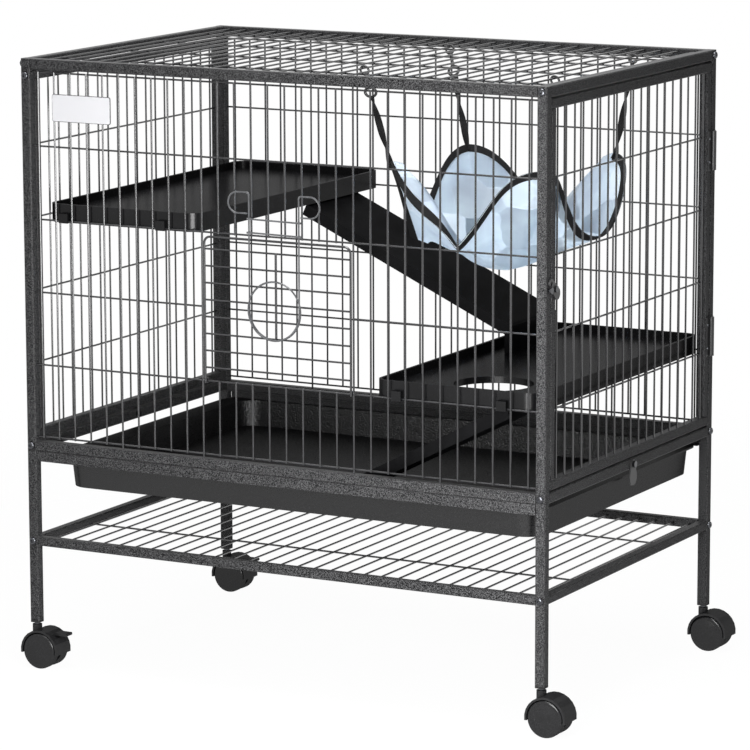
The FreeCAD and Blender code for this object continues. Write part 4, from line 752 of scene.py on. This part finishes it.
class Sling:
    """The hammock's form: cloth that runs straight from its middle up to four valleys, and curves
    up to four petals between them."""

    def __init__(self):
        lo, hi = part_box("hammock_cloth")
        self.middle = Vector(((lo.x + hi.x) / 2, (lo.y + hi.y) / 2, lo.z - sizes().sling_sag))
        self.tip_rise = hi.z - self.middle.z
        self.plain = 1 - BINDING_RINGS / sizes().cloth_rings

    def edge(self, turn):
        """How far out and how high the edge is at an angle, how near the angle is to a tip, and
        how much the edge is curled over there."""
        petal = abs(math.sin(2 * turn))
        half = int(turn % math.tau // (math.pi / 4)) % 8
        side = abs(math.sin(4 * turn))
        beyond = sizes().tip_reach - sizes().valley_reach
        reach = sizes().valley_reach + beyond * petal ** REACH_POWER
        reach += EDGE_SWINGS[half] * MM * side
        right, left = (max(way * math.cos(turn), 0) ** SIDE_POWER for way in (1, -1))
        climb = petal ** (RISE_POWER + right)
        rise = sizes().valley_rise + (self.tip_rise - sizes().valley_rise) * climb
        rise += sizes().right_lift * right - sizes().left_dip * left
        curl = side if half in CURLED_HALVES else 0
        rise += CURLED_HALVES.get(half, 0) * MM * curl
        return reach, rise, petal, curl

    def point(self, u, v):
        """Where a point of the flat cut hangs. u and v run from -1 to 1 across the cut."""
        turn = math.atan2(v, u)
        reach, rise, petal, curl = self.edge(turn)
        bend = VALLEY_BEND + TIP_BEND * petal
        tape = sizes().binding / math.hypot(reach, bend * rise) * (1 + CURL_TAPE * curl)
        ring = max(abs(u), abs(v))
        if ring < self.plain:
            share = ring / self.plain * (1 - tape)
        else:
            share = 1 - tape * (1 - ring) / (1 - self.plain)
        fold = 1 - CURL_SHARE * curl
        upright = min(share / fold, 1)
        over = max(share - fold, 0) / CURL_SHARE
        out = reach * upright + self.crease(turn, share) + sizes().curl_reach * over
        up = rise * upright ** bend - sizes().curl_drop * over ** 2
        return self.middle + Vector((out * math.cos(turn), out * math.sin(turn), up))

    @staticmethod
    def crease(turn, share):
        """Folds in the cloth: a sharp one down each petal, and trains of soft waves that run
        round the sling and out along it. They fade out towards the middle and the edge."""
        strength = FOLD_DEPTH * math.sin(math.pi * min(share, 1)) ** 2
        sharp = 1 - abs(math.sin(2 * (turn - math.pi / 4))) ** FOLD_POWER
        waves = sum(height * math.sin(across * turn + along * share + start)
                    for height, across, along, start in WAVES)
        return strength * (WAVE_SHARE * waves - sharp)


def hang(obj, sling):
    """Moves every point of a flat cut to where it hangs."""
    for vertex in obj.data.vertices:
        vertex.co = sling.point(vertex.co.x, vertex.co.y)


class CAGE_OT_hammock(bpy.types.Operator):
    """Cut the hammock's cloth and binding flat, then hang them"""

    bl_idname = "cage.hammock"
    bl_label = "Hammock cloth"

    def execute(self, context):
        sling = Sling()
        across = 2 * sizes().cloth_rings
        deselect()
        bpy.ops.mesh.primitive_grid_add(x_subdivisions=across, y_subdivisions=across, size=2)
        cloth = settle()
        cloth.name = "hammock_sling"
        edge = sling.plain

        def on_edge(face):
            place = face.calc_center_median()
            return max(abs(place.x), abs(place.y)) > edge

        edit(cloth, "FACE", on_edge)
        bpy.ops.mesh.duplicate()
        bpy.ops.mesh.separate(type="SELECTED")
        deselect()
        tape = next(obj for obj in bpy.data.objects if obj.name.startswith("hammock_sling."))
        tape.name = "hammock_binding"
        hang(cloth, sling)
        hang(tape, sling)
        self.soften(cloth)
        apply_modifier(cloth, "SOLIDIFY", thickness=sizes().cloth, offset=0)
        apply_modifier(tape, "SOLIDIFY", thickness=sizes().tape, offset=0)
        shade(cloth, degrees=60)
        shade(tape, degrees=60)
        fit(cloth, "hammock_fabric", "cage", "hammock_cloth")
        fit(tape, "webbing", "cage")
        return {"FINISHED"}

    @staticmethod
    def soften(cloth):
        """Rounds the fold between floor and walls, and leaves the edge as it is."""
        take(cloth)
        bpy.ops.object.mode_set(mode="EDIT")
        bpy.ops.mesh.select_mode(type="VERT")
        bpy.ops.mesh.select_all(action="SELECT")
        bpy.ops.mesh.region_to_loop()
        for ring in range(KEPT_RINGS):
            bpy.ops.mesh.select_more()
        bpy.ops.mesh.select_all(action="INVERT")
        bpy.ops.mesh.vertices_smooth(factor=0.5, repeat=SMOOTH_ROUNDS)
        bpy.ops.object.mode_set(mode="OBJECT")


# Straps and snap hooks

# A snap hook's eye is stretched to take the strap, and its barrel is eased at the ends and has a
# waist
EYE_STRETCH = (1.35, 1.1, 1.1)
BARREL_EASE = 0.8 * MM
WAIST_SHARE = 0.3
WAIST_DEPTH = 0.7 * MM

# A strap starts this share of a ring below the eye's middle and turns this far on its way, in this
# many steps, with its edges eased. This share of it is sewn to the petal, down to this place on the
# cut.
EYE_HANG = 0.9
STRAP_TURN = 1.5 * math.pi
STRAP_CUTS = 60
STRAP_EASE = 0.35 * MM
SEWN_SHARE = 0.05
SEWN_PLACE = 0.96


def hook_places():
    """The middle of each snap hook's upper ring. The rear pair hangs one roof wire further left
    than the front pair."""
    lo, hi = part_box("snap_hooks")
    reach = sizes().snap_ring + sizes().snap_wire / 2
    pitch = sizes().mesh_pitch
    y_front, y_rear = lo.y + sizes().snap_wire / 2, hi.y - sizes().snap_wire / 2
    top = hi.z - reach
    return {("left", "front"): Vector((lo.x + reach + pitch, y_front, top)),
            ("left", "rear"): Vector((lo.x + reach, y_rear, top)),
            ("right", "front"): Vector((hi.x - reach, y_front, top)),
            ("right", "rear"): Vector((hi.x - reach - pitch, y_rear, top))}


def shape_ring(drop):
    """One ring of a snap hook, this far below the upper ring."""
    deselect()
    bpy.ops.mesh.primitive_torus_add(major_segments=RING_SIDES, minor_segments=RING_WIRE_SIDES,
                                     major_radius=sizes().snap_ring,
                                     minor_radius=sizes().snap_wire / 2,
                                     rotation=(math.pi / 2, 0, 0), location=(0, 0, -drop))
    return settle()


def shape_hook(drop):
    """A snap hook about its upper ring: a ring round the wire, a swivel barrel and a strap eye."""
    ring, eye = shape_ring(0), shape_ring(drop)
    take(eye)
    bpy.ops.object.mode_set(mode="EDIT")
    bpy.ops.mesh.select_all(action="SELECT")
    bpy.ops.transform.resize(value=EYE_STRETCH, center_override=(0, 0, -drop))
    deselect()
    barrel_length = drop - 2 * sizes().snap_ring + sizes().snap_wire
    bpy.ops.mesh.primitive_cylinder_add(vertices=BARREL_SIDES, radius=sizes().snap_wire,
                                        depth=barrel_length, location=(0, 0, -drop / 2))
    barrel = settle()
    edit(barrel, "FACE", lambda face: abs(face.normal.z) > FACING)
    bpy.ops.mesh.bevel(offset=BARREL_EASE, segments=3, affect="EDGES")
    edit(barrel, "FACE", lambda face: abs(face.normal.z) < 1 - FACING)
    bpy.ops.mesh.inset(thickness=barrel_length * WAIST_SHARE, depth=-WAIST_DEPTH)
    hook = join([ring, eye, barrel], "snap_hook")
    shade(hook)
    return hook


def shape_strap(name, start, tip, down):
    """A flat strap that twists on its way from the hook's eye to a petal's tip, and is sewn a
    little way down the petal. A cube is cut across many times and then bent along that way."""
    width, thick = sizes().strap_width, sizes().strap_thickness
    deselect()
    bpy.ops.mesh.primitive_cube_add(size=1)
    strap = settle()
    strap.name = name
    edit(strap, "EDGE", lambda edge: abs(edge.verts[0].co.z - edge.verts[1].co.z) > 0.5)
    bpy.ops.mesh.subdivide(number_cuts=STRAP_CUTS)
    deselect()
    run = tip - start
    flat = Vector((-run.y, run.x, 0)).normalized()
    face = run.normalized().cross(flat)
    for vertex in strap.data.vertices:
        share = 0.5 - vertex.co.z
        on_run = min(share / (1 - SEWN_SHARE), 1)
        on_petal = max(share - 1 + SEWN_SHARE, 0) / SEWN_SHARE
        turn = STRAP_TURN * on_run
        side = flat * math.cos(turn) + face * math.sin(turn)
        proud = face * math.cos(turn) - flat * math.sin(turn)
        vertex.co = (start + run * on_run + down * on_petal
                     + side * (vertex.co.x * width) + proud * (vertex.co.y * thick))
    apply_modifier(strap, "BEVEL", width=STRAP_EASE, segments=2, limit_method="ANGLE")
    shade(strap)
    return strap


class CAGE_OT_straps(bpy.types.Operator):
    """Hang four straps with snap hooks from the roof wires to the hammock's petals"""

    bl_idname = "cage.straps"
    bl_label = "Hammock straps"

    def execute(self, context):
        drop = sizes().snap_drop
        sling = Sling()
        pattern = shape_hook(drop)
        hooks, straps = [], []
        for (hand, end), place in hook_places().items():
            u, v = (1 if hand == "right" else -1), (1 if end == "rear" else -1)
            tip = sling.point(u, v)
            pull = (tip - place).normalized()
            side = pull.cross((0, 1, 0)).normalized()
            turn = Matrix((-side, pull.cross(side), -pull)).transposed().to_4x4()
            hooks.append(copy_to(pattern, "hook", Matrix.Translation(place) @ turn))
            down = sling.point(u * SEWN_PLACE, v * SEWN_PLACE) - tip
            eye = place + pull * (drop + EYE_HANG * sizes().snap_ring)
            straps.append(shape_strap(f"strap_{end}_{hand}", eye, tip, down))
        bpy.data.objects.remove(pattern)
        fit(join(hooks, "hook_set"), "hook_plastic", "cage", "snap_hooks")
        fit(join(straps, "strap_set"), "webbing", "cage", "hammock_straps")
        return {"FINISHED"}


# Rounding of the name plate's corners and of its front edge, and the width of its dark rim, which
# is painted shade for the plate's edge and its shadow on the wires
PLATE_CORNER = 3 * MM
PLATE_EASE = 0.3 * MM
PLATE_SHADE_RIM = 0.6 * MM


class CAGE_OT_name_plate(bpy.types.Operator):
    """Fix the bare name plate to the front mesh"""

    bl_idname = "cage.name_plate"
    bl_label = "Name plate"

    def execute(self, context):
        lo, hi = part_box("front_panel_frame")
        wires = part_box("front_wires")[0].y
        width, height, thick = sizes().plate_width, sizes().plate_height, sizes().plate_thickness
        tube = hi.y - lo.y
        place = (lo.x + tube + sizes().plate_left + width / 2, wires - thick / 2,
                 hi.z - tube - sizes().plate_drop - height / 2)
        deselect()
        bpy.ops.mesh.primitive_cube_add(size=1, location=place, scale=(width, thick, height))
        plate = settle()
        plate.name = "name_plate"
        edit(plate, "EDGE", lambda edge: abs(edge.verts[0].co.y - edge.verts[1].co.y) > thick / 2)
        bpy.ops.mesh.bevel(offset=PLATE_CORNER, segments=5, affect="EDGES")
        edit(plate, "FACE", lambda face: face.normal.y < -FACING)
        bpy.ops.mesh.bevel(offset=PLATE_EASE, segments=2, affect="EDGES")
        edit(plate, "FACE", lambda face: face.normal.y < -FACING)
        # This inset makes the rim that carries the painted edge shade
        bpy.ops.mesh.inset(thickness=PLATE_SHADE_RIM, depth=0)
        shade(plate, degrees=40)
        fit(plate, "name_plate", "cage")
        # The rim and the sides get a black coat: painted shade for the plate's edge and its shadow
        # on the wires
        plate.data.materials.append(coated_plate("painted shade on plate edge"))
        for face in plate.data.polygons:
            face.material_index = 0 if face.area > width * height / 2 else 1
        return {"FINISHED"}


# Studio

# The camera: the point that it looks at, how far off it is and how far it sees, its lens and sensor
# in millimetres, and its turn, height and tilt in degrees
AIM = Vector((-0.00505, -0.00688, 0.40041))
CAMERA_DISTANCE = 5.5906
CAMERA_SIGHT = 100
CAMERA_LENS = 195.126
SENSOR_WIDTH = 36
CAMERA_AZIMUTH = 28.291
CAMERA_ELEVATION = 10.282
CAMERA_ROLL = -0.144

# Even light from all round, where plain white is 1
STUDIO_LIGHT = 0.14

# Soft boxes, each with its place, its breadth in metres and its power in watts
LAMPS = {"key": ((0.5, -1.06, 0.56), 0.6, 19),
         "front": ((-0.6, -4.2, 1.2), 1.8, 3),
         "top": ((0.2, -0.6, 3.4), 2.0, 120)}

# The black card: its place, its turn from facing the front, its width and height, and its colour
FLAG_PLACE = (1.35, 1.7, 1.3)
FLAG_TURN = -0.95
FLAG_SIZE = (3.4, 2.5)
VELVET = opaque(from_hex("#191919"))

# The floor: its radius and sides, its colour, how much of its own white shows, and where it starts
# and ends to fade out
FLOOR_REACH = 2.2
FLOOR_SIDES = 96
PAPER = opaque(from_hex("#f3f3f3"))
FLOOR_GLOW = 0.97
FADE_START = 0.45 * FLOOR_REACH
FADE_END = 0.95 * FLOOR_REACH


def place_camera():
    """The photograph's viewpoint: a long lens, low and to the right of the front."""
    data = bpy.data.cameras.new("camera")
    data.lens = CAMERA_LENS
    data.sensor_width = SENSOR_WIDTH
    data.clip_end = CAMERA_SIGHT
    camera = bpy.data.objects.new("camera", data)
    bpy.context.collection.objects.link(camera)
    turn = (Matrix.Rotation(math.radians(CAMERA_AZIMUTH), 3, "Z")
            @ Matrix.Rotation(math.radians(90 - CAMERA_ELEVATION), 3, "X")
            @ Matrix.Rotation(math.radians(CAMERA_ROLL), 3, "Z"))
    camera.rotation_euler = turn.to_euler()
    camera.location = AIM + turn @ Vector((0, 0, CAMERA_DISTANCE))
    bpy.context.scene.camera = camera


def seen_directly(tree):
    """1 for rays from the camera, a shine or a clear surface, and 0 for rays that light things."""
    path = add(tree, "ShaderNodeLightPath").outputs
    camera_or_shine = add(tree, "ShaderNodeMath", settings={"operation": "MAXIMUM"},
                          links={0: path["Is Camera Ray"], 1: path["Is Glossy Ray"]})
    seen = add(tree, "ShaderNodeMath", settings={"operation": "MAXIMUM"},
               links={0: camera_or_shine.outputs[0], 1: path["Is Transmission Ray"]})
    return seen.outputs[0]


def light_world():
    """White where it is seen, and a soft even light from all round."""
    world = bpy.data.worlds.new("white studio")
    bpy.context.scene.world = world
    world.use_nodes = True
    tree = world.node_tree
    tree.nodes.clear()
    strength = add(tree, "ShaderNodeMapRange", values={"To Min": STUDIO_LIGHT, "To Max": 1},
                   links={"Value": seen_directly(tree)})
    back = add(tree, "ShaderNodeBackground", values={"Color": WHITE},
               links={"Strength": strength.outputs["Result"]})
    add(tree, "ShaderNodeOutputWorld", links={"Surface": back.outputs["Background"]})


def place_lamp(name, place, breadth, power):
    """A square soft box that faces the cage."""
    data = bpy.data.lights.new(name, "AREA")
    data.size = breadth
    data.energy = power
    lamp = bpy.data.objects.new(name, data)
    lamp.location = place
    lamp.rotation_euler = (AIM - lamp.location).to_track_quat("-Z", "Y").to_euler()
    lamp.visible_camera = False
    bpy.context.collection.objects.link(lamp)


def place_flag():
    """A black card behind the door side, out of the camera's sight, so that the right faces stay
    dark and show their edges."""
    deselect()
    bpy.ops.mesh.primitive_plane_add(size=1, location=FLAG_PLACE, scale=(*FLAG_SIZE, 1),
                                     rotation=(math.pi / 2, 0, FLAG_TURN))
    flag = settle()
    flag.name = "black_flag"
    material, tree = start_material("black velvet card")
    velvet = add(tree, "ShaderNodeBsdfDiffuse", values={"Color": VELVET})
    finish_material(tree, velvet.outputs["BSDF"])
    flag.data.materials.append(material)
    flag.visible_camera = False


def lay_floor():
    """A white floor that keeps a faint shadow and fades into the white backdrop."""
    deselect()
    bpy.ops.mesh.primitive_circle_add(vertices=FLOOR_SIDES, radius=FLOOR_REACH,
                                      fill_type="NGON")
    floor = settle()
    floor.name = "studio_floor"
    material, tree = start_material("white paper floor")
    place = add(tree, "ShaderNodeTexCoord").outputs["Object"]
    distance = add(tree, "ShaderNodeVectorMath", settings={"operation": "LENGTH"},
                   links={0: place})
    fade = add(tree, "ShaderNodeMapRange", settings={"interpolation_type": "SMOOTHSTEP"},
               values={"From Min": FADE_START, "From Max": FADE_END},
               links={"Value": distance.outputs["Value"]})
    paper = add(tree, "ShaderNodeBsdfDiffuse", values={"Color": PAPER})
    glow = add(tree, "ShaderNodeEmission", values={"Color": WHITE, "Strength": 1})
    share = add(tree, "ShaderNodeMath", settings={"operation": "MULTIPLY"},
                values={1: FLOOR_GLOW}, links={0: seen_directly(tree)})
    sheet = add(tree, "ShaderNodeMixShader",
                links={0: share.outputs[0], 1: paper.outputs["BSDF"], 2: glow.outputs["Emission"]})
    clear = add(tree, "ShaderNodeBsdfTransparent")
    faded = add(tree, "ShaderNodeMixShader",
                links={0: fade.outputs["Result"], 1: sheet.outputs["Shader"],
                       2: clear.outputs["BSDF"]})
    finish_material(tree, faded.outputs["Shader"])
    floor.data.materials.append(material)


class CAGE_OT_studio(bpy.types.Operator):
    """Set up the floor, the light and the camera"""

    bl_idname = "cage.studio"
    bl_label = "Studio"

    def execute(self, context):
        context.scene.view_settings.view_transform = "Standard"
        lay_floor()
        light_world()
        for name, (place, breadth, power) in LAMPS.items():
            place_lamp(name, place, breadth, power)
        place_flag()
        place_camera()
        return {"FINISHED"}


OPERATORS = (CAGE_OT_finishes, CAGE_OT_wheels, CAGE_OT_bolts, CAGE_OT_hinge_rivets,
             CAGE_OT_hammock, CAGE_OT_straps, CAGE_OT_name_plate, CAGE_OT_studio)


class CAGE_PT_pieces(bpy.types.Panel):
    """Sizes, colours and the steps that dress the cage"""

    bl_label = "Small Animal Cage"
    bl_space_type = "VIEW_3D"
    bl_region_type = "UI"
    bl_category = "Cage"

    def draw(self, context):
        layout = self.layout
        for operator in OPERATORS:
            layout.operator(operator.bl_idname)
        for group in (context.scene.cage_sizes, context.scene.cage_colours):
            for name in group.__annotations__:
                layout.prop(group, name)


CLASSES = (CageColours, CageSizes, *OPERATORS, CAGE_PT_pieces)


def register():
    for cls in CLASSES:
        bpy.utils.register_class(cls)
    bpy.types.Scene.cage_colours = PointerProperty(type=CageColours)
    bpy.types.Scene.cage_sizes = PointerProperty(type=CageSizes)


def unregister():
    del bpy.types.Scene.cage_sizes
    del bpy.types.Scene.cage_colours
    for cls in reversed(CLASSES):
        bpy.utils.unregister_class(cls)


def main():
    register()
    bpy.ops.cage.finishes()
    bpy.ops.cage.wheels()
    bpy.ops.cage.bolts()
    bpy.ops.cage.hinge_rivets()
    bpy.ops.cage.hammock()
    bpy.ops.cage.straps()
    bpy.ops.cage.name_plate()
    bpy.ops.cage.studio()


if __name__ == "__main__":
    main()
